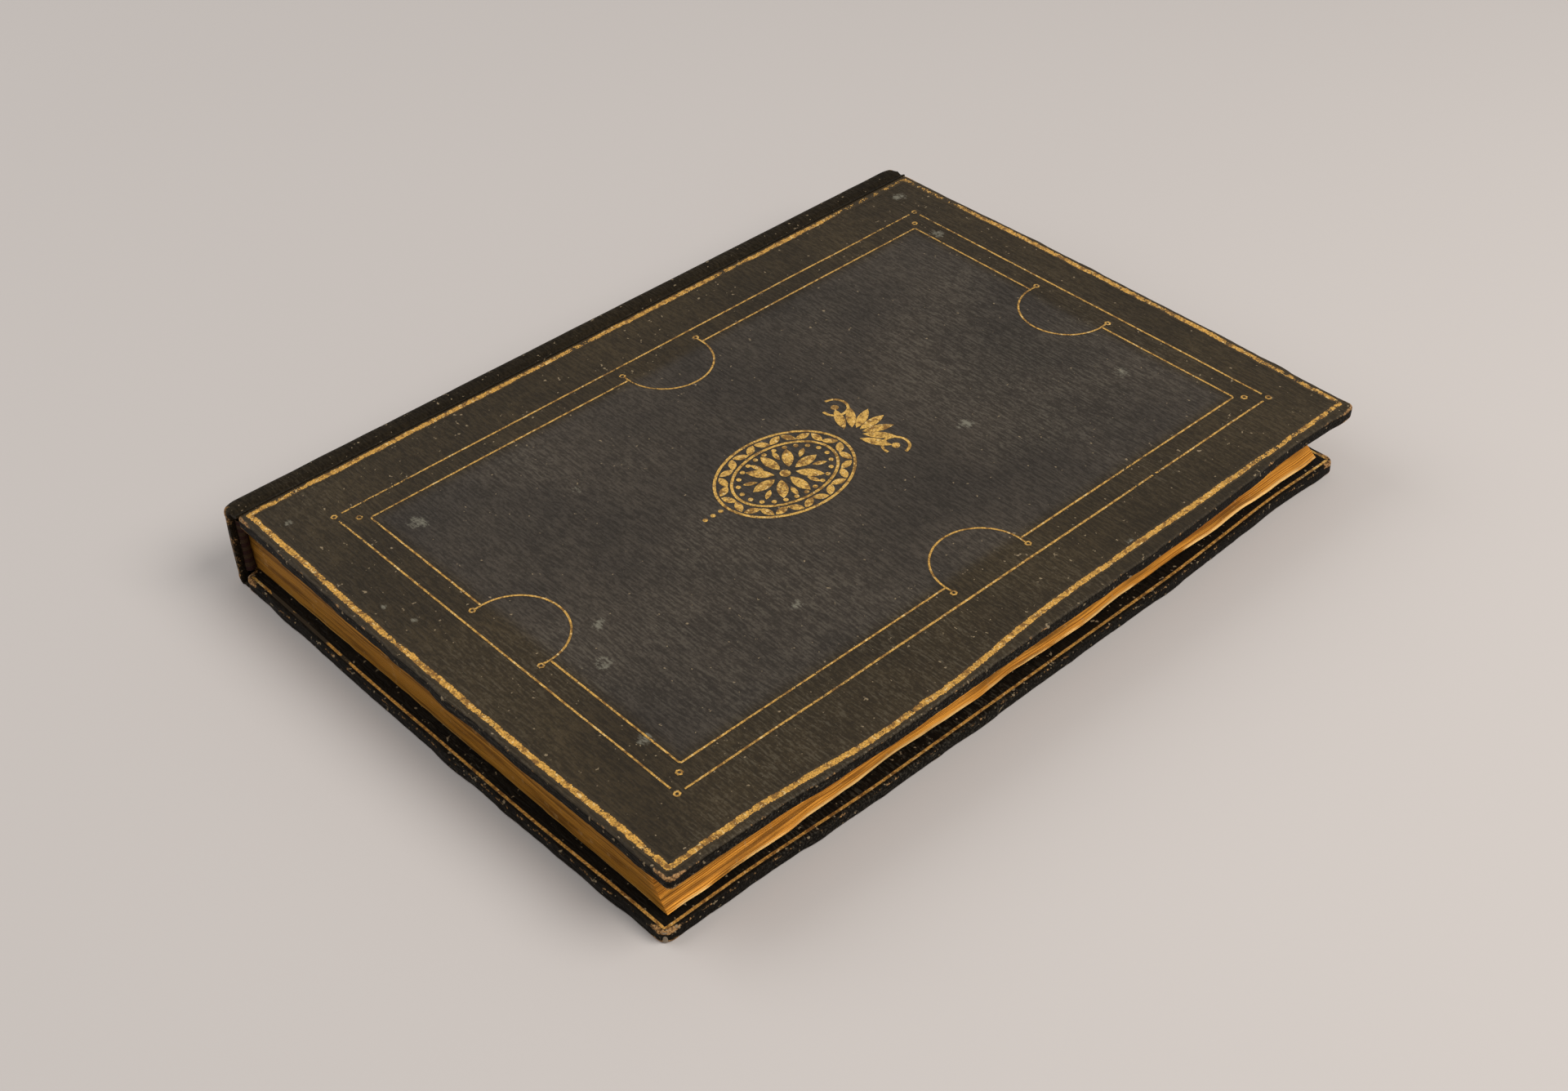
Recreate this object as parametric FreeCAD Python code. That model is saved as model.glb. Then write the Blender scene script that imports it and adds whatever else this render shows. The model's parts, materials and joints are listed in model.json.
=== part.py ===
import FreeCAD, Part
import math
import os

# An antique leather book that lies closed on its back cover.
# X runs from the spine to the fore-edge, Y from the tail to the head, and Z up.
# The origin is under the middle of the closed book, on the surface that it lies on.
# Sizes are in millimetres and angles in degrees.

# The two covers: a pasteboard wrapped in leather, with the leather turned in round the inner face.
cover_height = 280.0
cover_width = 195.0
board_thickness = 3.4
leather_thickness = 0.5
turn_in_thickness = 0.3
turn_in_width = 13.0
corner_round = 2.0
arris_round = 0.8

# An old book leans: the front cover stands further towards the fore-edge and the head than the back one.
cover_lean = 1.35
cover_slip = 0.4

# The leaves. They swell at the joint, where the sewing thread lies, and the fore-edge is hollow.
leaves_at_joint = 19.6
swell = 2.2
flyleaf_thickness = 0.25
square = 5.0
fore_edge_hollow = 3.4
rest_gap = 0.3

# The spine, from its outer face inwards.
spine_leather_thickness = 0.6
spine_inlay_thickness = 0.8
spine_hollow = 0.4
spine_lining_thickness = 0.4
spine_depth = 4.6
spine_bulge = 0.5
spine_corner_round = 3.0
spine_recess = 0.3
spine_inlay_margin = 4.5
spine_lining_margin = 6.0
spine_end_clearance = 0.6
headcap_thickness = 0.8
shoulder_run = 0.7
contact_clearance = 0.1
glue_line = 0.05

# The joints, where the leather bends between a cover and the spine.
joint_gap = 3.0
hinge_clearance = 0.15

# Sewing cords sunk into sawn kerfs, and the silk endbands.
cord_count = 5
end_cord_margin = 35.0
cord_radius = 0.6
cord_clearance = 0.1
cord_depth = 0.75
cord_end_margin = 3.4
endband_radius = 1.7
endband_depth = 1.9
endband_end_margin = 3.8

# Gold tooling, pressed this deep into the leather.
gilt_depth = 0.12
border_inset = 2.2
border_width = 2.2
line_width = 0.8
outer_frame_margin = 20.6
outer_frame_head_margin = 15.8
frame_spacing = 7.6
notch_radius = 15.5
ring_radius = 1.1
ring_width = 0.6
notch_ring_offset = 3.1
corner_ring_offset = 2.3
corner_line_gap = 2.6
turn_in_line_width = 0.9
turn_in_line_inset = 1.8

# The centre stamp: an oval wreath round a rosette, with a palmette above it.
stamp_centre_y = -10.0
wreath_half_width = 18.0
wreath_half_height = 23.5
wreath_band = 1.0
wreath_depth = 5.2
wreath_leaf_count = 26
wreath_leaf_length = 4.6
wreath_leaf_width = 1.9
wreath_leaf_turn = 34.0
rosette_petals = 8
petal_start = 2.7
petal_reach_across = 11.0
petal_reach_along = 15.0
petal_width = 3.3
rosette_bead_radius = 0.8
rosette_bead_reach = 0.78
rosette_hub_radius = 1.7
palmette_base_y = 18.4
palmette_leaves = 7
palmette_step = 25.0
palmette_start = 2.6
palmette_reach_side = 10.0
palmette_reach_top = 17.0
palmette_leaf_width = 2.6
scroll_radius = 4.2
scroll_across = 13.4
scroll_y = 23.6
scroll_sweep = 280.0
scroll_bead_radius = 1.3
drop_count = 3
drop_radius = 1.1
drop_shrink = 0.75
drop_pitch = 3.0

# Worked-out sizes.
cover_thickness = leather_thickness + board_thickness + turn_in_thickness
tilt = math.degrees(math.atan(swell / cover_width))
slope = math.tan(math.radians(tilt))
overall_width = spine_depth + joint_gap + 2 * cover_lean + cover_width - cover_lean
x_spine = -overall_width / 2
x_shoulder = x_spine + spine_depth
x_front_edge = x_shoulder + joint_gap + cover_lean
x_back_edge = x_shoulder + joint_gap - cover_lean
x_front_hinge = (x_shoulder + x_front_edge) / 2
x_back_hinge = (x_shoulder + x_back_edge) / 2
x_leaf_fore = x_back_edge + cover_width - square
leaf_bottom = cover_thickness + rest_gap
front_hinge_z = leaf_bottom + leaves_at_joint + rest_gap + cover_thickness / math.cos(math.radians(tilt))
leaf_half_height = cover_height / 2 - square

# The spine's outer profile and the back of the leaves, both bowed towards -X.
spine_top = front_hinge_z - spine_recess
spine_bottom = spine_recess
back_top = spine_top - spine_leather_thickness - contact_clearance
back_bottom = spine_bottom + spine_leather_thickness + contact_clearance
back_middle = (back_top + back_bottom) / 2
back_half = (back_top - back_bottom) / 2
x_back_tip = x_shoulder - shoulder_run
x_back_crown = (
    x_spine + spine_leather_thickness + spine_inlay_thickness + spine_hollow + spine_lining_thickness
)
back_bow = x_back_tip - x_back_crown
back_radius = (back_half**2 + back_bow**2) / (2 * back_bow)
x_back_centre = x_back_crown + back_radius


def vec(x, y, z):
    return FreeCAD.Vector(x, y, z)


def arc(a, b, c):
    return Part.Arc(a, b, c).toShape()


def line(a, b):
    return Part.LineSegment(a, b).toShape()


def box(x0, x1, y0, y1, z0, z1):
    return Part.makeBox(x1 - x0, y1 - y0, z1 - z0, vec(x0, y0, z0))


def face_of(edges):
    return Part.Face(Part.Wire(edges))


def fused(shapes):
    """One shape from several, with the touching ones joined."""
    return shapes[0].multiFuse(shapes[1:]).removeSplitter()


def along_y(face, half_length):
    """A face in the XZ plane drawn out to both sides of it."""
    moved = face.copy()
    moved.translate(vec(0, -half_length, 0))
    return moved.extrude(vec(0, 2 * half_length, 0))


def leaf_top(x, below=0.0):
    """Height of the leaves' upper face, which falls from the joint to the fore-edge."""
    return leaf_bottom + leaves_at_joint - (x - x_front_hinge) * slope - below


# Each cover is modelled from its outer face: x from its spine edge, y from its middle, z inwards.


def rounded_plate(width, height, thickness, radius):
    """A plate with its four corners rounded in plan."""
    plate = box(0, width, -height / 2, height / 2, 0, thickness)
    upright = [e for e in plate.Edges if abs(e.tangentAt(e.FirstParameter).z) > 0.99]
    return plate.makeFillet(radius, upright)


def cover_body():
    body = rounded_plate(cover_width, cover_height, cover_thickness, corner_round)
    rims = [e for e in body.Edges if e.BoundBox.ZLength < leather_thickness]
    return body.makeFillet(arris_round, rims)


def cover_board():
    inner_round = corner_round - leather_thickness
    width = cover_width - 2 * leather_thickness
    height = cover_height - 2 * leather_thickness
    board = rounded_plate(width, height, board_thickness, inner_round)
    board.translate(vec(leather_thickness, 0, leather_thickness))
    return board


def cover_pastedown():
    """The paper glued inside the turn-ins, level with them."""
    half = cover_height / 2 - turn_in_width
    inner = leather_thickness + board_thickness
    return box(turn_in_width, cover_width - turn_in_width, -half, half, inner, cover_thickness)


def cover_leather(edge_to_hinge, gilding):
    """The leather round a board, with the flap that reaches to the hinge line and the pressed tooling."""
    half = cover_height / 2
    reach = edge_to_hinge - hinge_clearance
    flap = box(-reach, arris_round + leather_thickness, -half + corner_round, half - corner_round, 0,
               leather_thickness)
    wrap = cover_body().fuse(flap)
    hollow = Part.makeCompound([cover_board(), cover_pastedown()] + gilding)
    return wrap.cut(hollow).removeSplitter()


def rule(x0, y0, x1, y1, width):
    """A straight tooled line along X or Y, between the ends of its centre line."""
    half = width / 2
    if x0 == x1:
        return box(x0 - half, x0 + half, min(y0, y1), max(y0, y1), 0, gilt_depth)
    return box(min(x0, x1), max(x0, x1), y0 - half, y0 + half, 0, gilt_depth)


def disc(x, y, radius):
    return Part.makeCylinder(radius, gilt_depth, vec(x, y, 0))


def ring(x, y, radius, width):
    return disc(x, y, radius + width / 2).cut(disc(x, y, radius - width / 2))


def bow(x, y, radius, width, start, sweep):
    """Part of a ring, from a start angle through a sweep."""
    outer = Part.makeCylinder(radius + width / 2, gilt_depth, vec(0, 0, 0), vec(0, 0, 1), sweep)
    band = outer.cut(disc(0, 0, radius - width / 2))
    band.rotate(vec(0, 0, 0), vec(0, 0, 1), start)
    band.translate(vec(x, y, 0))
    return band


def border(inset, width):
    """A gold band that runs parallel to the cover's edges."""
    near = inset - width / 2
    far = inset + width / 2
    half = cover_height / 2
    outer = box(near, cover_width - near, -half + near, half - near, 0, gilt_depth)
    inner = box(far, cover_width - far, -half + far, half - far, 0, gilt_depth)
    return outer.cut(inner)


def outer_frame():
    """Four thin lines that stop short of a small ring at each corner."""
    x0 = outer_frame_margin
    x1 = cover_width - outer_frame_margin
    y0 = -cover_height / 2 + outer_frame_margin
    y1 = cover_height / 2 - outer_frame_head_margin
    gap = corner_line_gap
    pieces = [rule(x0 + gap, y, x1 - gap, y, line_width) for y in (y0, y1)]
    pieces += [rule(x, y0 + gap, x, y1 - gap, line_width) for x in (x0, x1)]
    pieces += [ring(x, y, ring_radius, ring_width) for x in (x0, x1) for y in (y0, y1)]
    return pieces


def inner_frame():
    """Lines that break in the middle of each side into a half circle, bowed inwards, between two rings."""
    x0 = outer_frame_margin + frame_spacing
    x1 = cover_width - x0
    y0 = -cover_height / 2 + outer_frame_margin + frame_spacing
    y1 = cover_height / 2 - outer_frame_head_margin - frame_spacing
    mid_x = (x0 + x1) / 2
    mid_y = (y0 + y1) / 2
    half = line_width / 2
    pieces = []
    for y, outwards, start in ((y0, -1, 0), (y1, 1, 180)):
        pieces.append(bow(mid_x, y, notch_radius, line_width, start, 180))
        for side, end in ((-1, x0 - half), (1, x1 + half)):
            foot = mid_x + side * notch_radius
            pieces.append(rule(foot, y, end, y, line_width))
            pieces.append(ring(foot, y + outwards * notch_ring_offset, ring_radius, ring_width))
            pieces.append(rule(foot, y, foot, y + outwards * (notch_ring_offset - ring_radius), line_width))
    for x, outwards, start in ((x0, -1, -90), (x1, 1, 90)):
        pieces.append(bow(x, mid_y, notch_radius, line_width, start, 180))
        for side, end in ((-1, y0 - half), (1, y1 + half)):
            foot = mid_y + side * notch_radius
            pieces.append(rule(x, foot, x, end, line_width))
            pieces.append(ring(x + outwards * notch_ring_offset, foot, ring_radius, ring_width))
            pieces.append(rule(x, foot, x + outwards * (notch_ring_offset - ring_radius), foot, line_width))
    for x, sign_x in ((x0, -1), (x1, 1)):
        for y, sign_y in ((y0, -1), (y1, 1)):
            offset = corner_ring_offset
            pieces.append(ring(x + sign_x * offset, y + sign_y * offset, ring_radius, ring_width))
    return pieces


def leaf(x, y, angle, length, width):
    """A pointed leaf about its middle, lying along an angle."""
    tip = vec(length / 2, 0, 0)
    near = vec(-length / 5, width / 2, 0)
    far = vec(length / 5, width / 2, 0)
    outline = Part.makePolygon([-tip, near, far, tip, -near, -far, -tip])
    shape = Part.Face(outline).extrude(vec(0, 0, gilt_depth))
    shape.rotate(vec(0, 0, 0), vec(0, 0, 1), angle)
    shape.translate(vec(x, y, 0))
    return shape


def spoke_leaf(x, y, angle, start, reach, width):
    """A leaf that points away from x, y, between two distances from it."""
    middle = (start + reach) / 2
    turn = math.radians(angle)
    return leaf(x + middle * math.cos(turn), y + middle * math.sin(turn), angle, reach - start, width)


def oval(half_width, half_height):
    """A flat oval plate, taller than it is wide."""
    curve = Part.Ellipse(vec(0, 0, 0), half_height, half_width).toShape()
    plate = face_of([curve]).extrude(vec(0, 0, gilt_depth))
    plate.rotate(vec(0, 0, 0), vec(0, 0, 1), 90)
    return plate


def oval_band(half_width, half_height, band):
    return oval(half_width, half_height).cut(oval(half_width - band, half_height - band))


def wreath():
    """Two oval bands with a run of leaves between them."""
    inner_width = wreath_half_width - wreath_depth
    inner_height = wreath_half_height - wreath_depth
    pieces = [
        oval_band(wreath_half_width, wreath_half_height, wreath_band),
        oval_band(inner_width, inner_height, wreath_band),
    ]
    middle_width = (wreath_half_width - wreath_band + inner_width) / 2
    middle_height = (wreath_half_height - wreath_band + inner_height) / 2
    for n in range(wreath_leaf_count):
        turn = 2 * math.pi * (n + 0.5) / wreath_leaf_count
        along = math.degrees(math.atan2(middle_height * math.cos(turn), -middle_width * math.sin(turn)))
        lean = wreath_leaf_turn if n % 2 else -wreath_leaf_turn
        x = middle_width * math.cos(turn)
        y = middle_height * math.sin(turn)
        pieces.append(leaf(x, y, along + lean, wreath_leaf_length, wreath_leaf_width))
    return pieces


def rosette():
    """Petals about a hub, with a bead between each two."""
    pieces = [disc(0, 0, rosette_hub_radius)]
    for n in range(rosette_petals):
        for step, is_bead in ((0.0, False), (0.5, True)):
            turn = 2 * math.pi * (n + step) / rosette_petals
            reach = math.hypot(
                petal_reach_across * math.cos(turn), petal_reach_along * math.sin(turn)
            )
            if is_bead:
                far = reach * rosette_bead_reach
                pieces.append(disc(far * math.cos(turn), far * math.sin(turn), rosette_bead_radius))
            else:
                pieces.append(spoke_leaf(0, 0, math.degrees(turn), petal_start, reach, petal_width))
    return pieces


def palmette():
    """A fan of leaves with a scroll on each side, standing on the wreath."""
    base = palmette_base_y - stamp_centre_y
    pieces = []
    for n in range(palmette_leaves):
        from_middle = n - (palmette_leaves - 1) / 2
        share = 1 - abs(from_middle) / ((palmette_leaves - 1) / 2)
        reach = palmette_reach_side + share * (palmette_reach_top - palmette_reach_side)
        angle = 90 - from_middle * palmette_step
        pieces.append(spoke_leaf(0, base, angle, palmette_start, reach, palmette_leaf_width))
    pieces.append(disc(0, base, palmette_start - 1.2 * rosette_bead_radius))
    height = scroll_y - stamp_centre_y
    for side, start in ((-1, 180 - scroll_sweep), (1, 0)):
        pieces.append(bow(side * scroll_across, height, scroll_radius, line_width, start, scroll_sweep))
        pieces.append(disc(side * scroll_across, height, scroll_bead_radius))
    return pieces


def drops():
    """Beads of falling size under the wreath."""
    pieces = []
    for n in range(drop_count):
        y = -wreath_half_height - drop_pitch * (n + 0.8)
        pieces.append(disc(0, y, drop_radius * drop_shrink**n))
    return pieces


def centre_stamp():
    """The whole stamp as one shape, in the middle of the cover."""
    shape = Part.makeCompound(wreath() + rosette() + palmette() + drops())
    shape.translate(vec(cover_width / 2, stamp_centre_y, 0))
    return shape


def turn_in_gilding():
    """Two gold lines on the turn-ins, along the head, the fore-edge and the tail."""
    half = cover_height / 2
    start = turn_in_line_inset
    pieces = []
    for inset in (turn_in_line_inset, turn_in_width - turn_in_line_inset):
        far = cover_width - inset
        top = half - inset
        end = far + turn_in_line_width / 2
        sides = [
            rule(start, -top, end, -top, turn_in_line_width),
            rule(start, top, end, top, turn_in_line_width),
            rule(far, -top, far, top, turn_in_line_width),
        ]
        pieces.append(fused(sides))
    shape = Part.makeCompound(pieces)
    shape.translate(vec(0, 0, cover_thickness - gilt_depth))
    return shape


def cover(edge_to_hinge, outside_gilding):
    """All pieces of one cover, by name. outside_gilding holds the shapes on its outer face."""
    inside = turn_in_gilding()
    return {
        "board": cover_board(),
        "leather": cover_leather(edge_to_hinge, list(outside_gilding.values()) + [inside]),
        "pastedown": cover_pastedown(),
        "turn_in_gilt": inside,
        **outside_gilding,
    }


def back_cover():
    gilding = {"gilt_tooling": Part.makeCompound([border(border_inset, border_width)] + outer_frame())}
    pieces = cover(x_back_edge - x_back_hinge, gilding)
    for shape in pieces.values():
        shape.translate(vec(x_back_edge, -cover_slip, 0))
    return {"back_" + name: shape for name, shape in pieces.items()}


def front_cover():
    """The front cover is turned over, laid on the leaves and tilted with them about its hinge line."""
    frames = [border(border_inset, border_width), fused(outer_frame()), fused(inner_frame())]
    gilding = {"gilt_tooling": Part.makeCompound(frames), "gilt_stamp": centre_stamp()}
    placed = {}
    for name, shape in cover(x_front_edge - x_front_hinge, gilding).items():
        turned = shape.mirror(vec(0, 0, 0), vec(0, 0, 1))
        turned.translate(vec(x_front_edge, cover_slip, front_hinge_z))
        turned.rotate(vec(x_front_hinge, 0, front_hinge_z), vec(0, 1, 0), tilt)
        placed["front_" + name] = turned
    return placed


def back_point(radius, height):
    """A point at a height on an arc that is concentric with the back of the leaves."""
    rise = height - back_middle
    return vec(x_back_centre - math.sqrt(radius**2 - rise**2), 0, height)


def back_band(near, far, bottom, top):
    """A face between two arcs concentric with the back, at two distances outside it."""
    inner = back_radius + near
    outer = back_radius + far
    return face_of([
        arc(back_point(inner, bottom), back_point(inner, back_middle), back_point(inner, top)),
        line(back_point(inner, top), back_point(outer, top)),
        arc(back_point(outer, top), back_point(outer, back_middle), back_point(outer, bottom)),
        line(back_point(outer, bottom), back_point(inner, bottom)),
    ])


def bent_rod(depth, radius, y, bottom, top):
    """A round rod that follows the back of the leaves, at a depth inside it."""
    path_radius = back_radius - depth
    start = back_point(path_radius, bottom)
    start.y = y
    low = math.asin((bottom - back_middle) / path_radius)
    high = math.asin((top - back_middle) / path_radius)
    centre = vec(x_back_centre, y, back_middle)
    along = vec(math.sin(low), 0, math.cos(low))
    disc_face = Part.Face(Part.Wire(Part.makeCircle(radius, start, along)))
    return disc_face.revolve(centre, vec(0, 1, 0), math.degrees(high - low))


def cord_places():
    first = leaf_half_height - end_cord_margin
    pitch = 2 * first / (cord_count - 1)
    return [pitch * n - first for n in range(cord_count)]


def cord_line():
    """Where the straight cords run: x, and their lowest and highest points."""
    low = back_bottom + cord_end_margin
    high = back_top - cord_end_margin
    return back_point(back_radius - cord_depth, low).x, low, high


def kerf(y):
    """The slot that is sawn across the back for a cord."""
    bottom = cord_line()[0] + cord_radius + cord_clearance
    half = cord_radius + cord_clearance
    return box(x_spine, bottom, y - half, y + half, spine_bottom, spine_top)


def sewing_cord(y):
    x, low, high = cord_line()
    return Part.makeCylinder(cord_radius, high - low, vec(x, y, low))


def text_block():
    """The sewn leaves as one solid, with rounded back, shoulders and hollow fore-edge."""
    bottom = leaf_bottom + flyleaf_thickness
    top_in = leaf_top(x_shoulder, flyleaf_thickness)
    top_out = leaf_top(x_leaf_fore, flyleaf_thickness)
    tip_low = vec(x_back_tip, 0, back_bottom)
    tip_high = vec(x_back_tip, 0, back_top)
    crown = vec(x_back_crown, 0, back_middle)
    foot_low = vec(x_shoulder, 0, bottom)
    foot_high = vec(x_shoulder, 0, top_in)
    fore_low = vec(x_leaf_fore, 0, bottom)
    fore_high = vec(x_leaf_fore, 0, top_out)
    hollow = vec(x_leaf_fore - fore_edge_hollow, 0, (bottom + top_out) / 2)
    face = face_of([
        line(fore_low, foot_low),
        line(foot_low, tip_low),
        arc(tip_low, crown, tip_high),
        line(tip_high, foot_high),
        line(foot_high, fore_high),
        arc(fore_high, hollow, fore_low),
    ])
    block = along_y(face, leaf_half_height)
    return block.cut(Part.makeCompound([kerf(y) for y in cord_places()]))


def flyleaf(bottom_in, bottom_out):
    """A single leaf whose underside runs between two heights, at the shoulder and at the fore-edge."""
    corners = [
        vec(x_shoulder, 0, bottom_in),
        vec(x_leaf_fore, 0, bottom_out),
        vec(x_leaf_fore, 0, bottom_out + flyleaf_thickness),
        vec(x_shoulder, 0, bottom_in + flyleaf_thickness),
    ]
    return along_y(Part.Face(Part.makePolygon(corners + corners[:1])), leaf_half_height)


def spine_profile(inset, front_reach, back_reach):
    """The D-shaped section of the spine, inset from its outer face and open to the joints."""
    top = spine_top - inset
    bottom = spine_bottom + inset
    middle = (top + bottom) / 2
    radius = spine_corner_round - inset
    wall = x_spine + spine_bulge + inset
    turn_x = x_spine + spine_bulge + spine_corner_round
    high = spine_top - spine_corner_round
    low = spine_bottom + spine_corner_round
    part = radius * math.sqrt(0.5)
    return face_of([
        line(vec(front_reach, 0, top), vec(turn_x, 0, top)),
        arc(vec(turn_x, 0, top), vec(turn_x - part, 0, high + part), vec(wall, 0, high)),
        arc(vec(wall, 0, high), vec(x_spine + inset, 0, middle), vec(wall, 0, low)),
        arc(vec(wall, 0, low), vec(turn_x - part, 0, low - part), vec(turn_x, 0, bottom)),
        line(vec(turn_x, 0, bottom), vec(back_reach, 0, bottom)),
        line(vec(back_reach, 0, bottom), vec(front_reach, 0, top)),
    ])


def spine_leather():
    """Leather round the spine, with a lip to each hinge line and a headcap over each end."""
    half = cover_height / 2
    front_lip = x_front_hinge - hinge_clearance
    back_lip = x_back_hinge - hinge_clearance
    beyond = x_front_edge
    outer = spine_profile(0, front_lip, back_lip)
    inner = spine_profile(spine_leather_thickness, beyond, beyond)
    channel = along_y(outer, half).cut(along_y(inner, half + 1))
    window = box(x_spine - 1, x_shoulder - shoulder_run, half - headcap_thickness, half, 0, front_hinge_z)
    cap = along_y(outer, half).common(window)
    other = cap.mirror(vec(0, 0, 0), vec(0, 1, 0))
    return fused([channel, cap, other])


def spine_inlay():
    """The card strip that stiffens the leather of the spine."""
    far = spine_leather_thickness + spine_inlay_thickness
    outer = spine_profile(spine_leather_thickness, x_shoulder, x_shoulder)
    inner = spine_profile(far, x_front_edge, x_front_edge)
    length = cover_height / 2 - headcap_thickness - spine_end_clearance
    strip = along_y(outer, length).cut(along_y(inner, length + 1))
    low = spine_bottom + spine_inlay_margin
    high = spine_top - spine_inlay_margin
    return strip.common(box(x_spine, x_shoulder, -length, length, low, high))


def spine_lining():
    """Cloth glued over the sewn back."""
    low = back_bottom + spine_lining_margin / 4
    high = back_top - spine_lining_margin / 4
    face = back_band(glue_line, spine_lining_thickness, low, high)
    return along_y(face, leaf_half_height - spine_lining_margin)


def endband(side):
    y = side * (leaf_half_height + endband_radius + glue_line)
    low = back_bottom + endband_end_margin
    high = back_top - endband_end_margin
    return bent_rod(endband_depth, endband_radius, y, low, high)


def book_block():
    leaf_fore = leaf_top(x_leaf_fore, flyleaf_thickness)
    pieces = {
        "text_block": text_block(),
        "front_flyleaf": flyleaf(leaf_top(x_shoulder, flyleaf_thickness), leaf_fore),
        "back_flyleaf": flyleaf(leaf_bottom, leaf_bottom),
        "head_endband": endband(1),
        "tail_endband": endband(-1),
        "spine_lining": spine_lining(),
        "spine_inlay": spine_inlay(),
        "spine_leather": spine_leather(),
    }
    for n, y in enumerate(cord_places(), 1):
        pieces[f"sewing_cord_{n}"] = sewing_cord(y)
    return pieces


def main():
    os.makedirs("parts", exist_ok=True)
    pieces = {**back_cover(), **book_block(), **front_cover()}
    for name, shape in pieces.items():
        shape.exportStep(f"parts/{name}.step")
    print("front hinge x, z:", round(x_front_hinge, 4), round(front_hinge_z, 4))
    print("back hinge x:", round(x_back_hinge, 4), "tilt:", round(tilt, 4))
    return pieces


main()
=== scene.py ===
import json
import math

import bpy
import numpy as np
from mathutils import Matrix, Vector, noise


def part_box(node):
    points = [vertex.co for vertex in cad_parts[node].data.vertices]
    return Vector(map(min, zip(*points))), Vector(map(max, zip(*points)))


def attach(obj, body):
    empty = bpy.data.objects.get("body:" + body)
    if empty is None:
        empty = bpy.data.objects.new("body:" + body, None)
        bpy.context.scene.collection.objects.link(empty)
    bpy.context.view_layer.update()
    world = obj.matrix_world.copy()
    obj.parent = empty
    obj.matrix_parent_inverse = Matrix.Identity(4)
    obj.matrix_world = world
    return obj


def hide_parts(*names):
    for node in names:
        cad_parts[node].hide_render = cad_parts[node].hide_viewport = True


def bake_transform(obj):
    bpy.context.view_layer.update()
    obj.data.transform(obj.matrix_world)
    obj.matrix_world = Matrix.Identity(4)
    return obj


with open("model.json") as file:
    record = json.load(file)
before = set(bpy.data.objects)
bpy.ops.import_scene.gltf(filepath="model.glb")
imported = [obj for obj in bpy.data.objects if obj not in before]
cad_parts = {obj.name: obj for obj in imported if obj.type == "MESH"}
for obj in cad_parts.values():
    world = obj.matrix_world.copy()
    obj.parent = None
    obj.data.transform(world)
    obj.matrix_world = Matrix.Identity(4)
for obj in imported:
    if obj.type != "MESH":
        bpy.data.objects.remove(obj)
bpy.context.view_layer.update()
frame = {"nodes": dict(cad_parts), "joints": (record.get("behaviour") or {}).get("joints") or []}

# Looks for an antique leather book: worn straight-grained leather, worn gold tooling, gilt leaf edges,
# silk endbands and aged paper. Lengths are in metres.

MM = 0.001

# The book's sizes, read from the frame.
joints = {joint["name"]: Vector(joint["pos_m"]) for joint in frame["joints"]}
FRONT_HINGE = joints["front_cover_hinge"]
BACK_HINGE = joints["back_cover_hinge"]
BOARD_COVERING = 0.5 * MM
back_low, back_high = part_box("back_leather")
board_low, board_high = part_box("back_board")
leaves_low, leaves_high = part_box("text_block")
spine_low, spine_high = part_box("spine_leather")
fly_low, fly_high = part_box("back_flyleaf")
COVER_WIDTH = board_high.x - board_low.x + 2 * BOARD_COVERING
COVER_THICKNESS = back_high.z
HALF_HEIGHT = (back_high.y - back_low.y) / 2
BACK_EDGE_X = board_low.x - BOARD_COVERING
FRONT_EDGE_X = BACK_EDGE_X + 2 * (FRONT_HINGE.x - BACK_HINGE.x)
SLIP = -(back_low.y + back_high.y) / 2
SWELL = 2.2 * MM
SLOPE = math.atan(SWELL / COVER_WIDTH)
TURN_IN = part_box("back_pastedown")[0].x - BACK_EDGE_X

# Leather, in section and where it is bent.
ARRIS = 0.8 * MM
RIM_ARC = ARRIS * math.pi / 2
RIM_WALL = COVER_THICKNESS - 2 * ARRIS
LEATHER = 0.45 * MM
HIDE_PITCH = 1.35 * MM
FRONT_CORNER = 2.0 * MM
BACK_CORNER = 3.2 * MM
GROOVE_DEPTH = 0.7 * MM
SPINE_CORNER = 3.0 * MM
SPINE_BULGE = 0.5 * MM
LIP_X = BACK_HINGE.x - 1.1 * MM
CAP_ROLL = 1.3 * MM
CAP_START = 0.6 * MM
ROUNDED_LENGTH = 5 * MM
TAIL_ROUNDING = 3.0 * MM
HEAD_ROUNDING = 1.4 * MM
CARD_SHORT = 5.5 * MM

# How far the worn boards stand out past straight edges, and how far the front one sags.
FORE_BOW = 2.4 * MM
FORE_DIP = 0.25 * MM
FORE_HEAD_SWELL = 0.8 * MM
END_BOW = 1.2 * MM
BACK_BOW_SHARE = 0.7
SAG = 0.12 * MM

# The leather's border value tells its colour: 0 in the field and 1 in the olive margin. Above 1 it is painted shade,
# near black at 2 on the walls and turn-ins and part way on the spine; faces above EDGE_FROM take a less glossy shaded
# copy of the leather.
WALL_SHADE = 2.0
SPINE_SHADE = 1.45
EDGE_FROM = 1.4

# Gold tooling on the covers.
LINE = 0.8 * MM
BORDER_INSET = 2.4 * MM
BORDER_TAIL_INSET = 2.9 * MM
BORDER_FORE_INSET = 3.3 * MM
BORDER_WIDTH = 3.3 * MM
BORDER_LEAN = 3.4 * MM
OUTER_FRAME = 20.6 * MM
OUTER_FRAME_HEAD = 15.8 * MM
FRAME_SPACING = 7.6 * MM
NOTCH = 15.5 * MM
NOTCH_PAST = 8.5
RING = 0.85 * MM
NOTCH_RING_OFFSET = 3.1 * MM
CORNER_RING_OFFSET = 2.3 * MM
CORNER_GAP = 2.6 * MM
TURN_IN_INSET = 1.8 * MM
TURN_IN_LINE = 1.1 * MM
GOLD_LIFT = 0.04 * MM
GOLD_INSIDE = COVER_THICKNESS + 0.06 * MM

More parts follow.
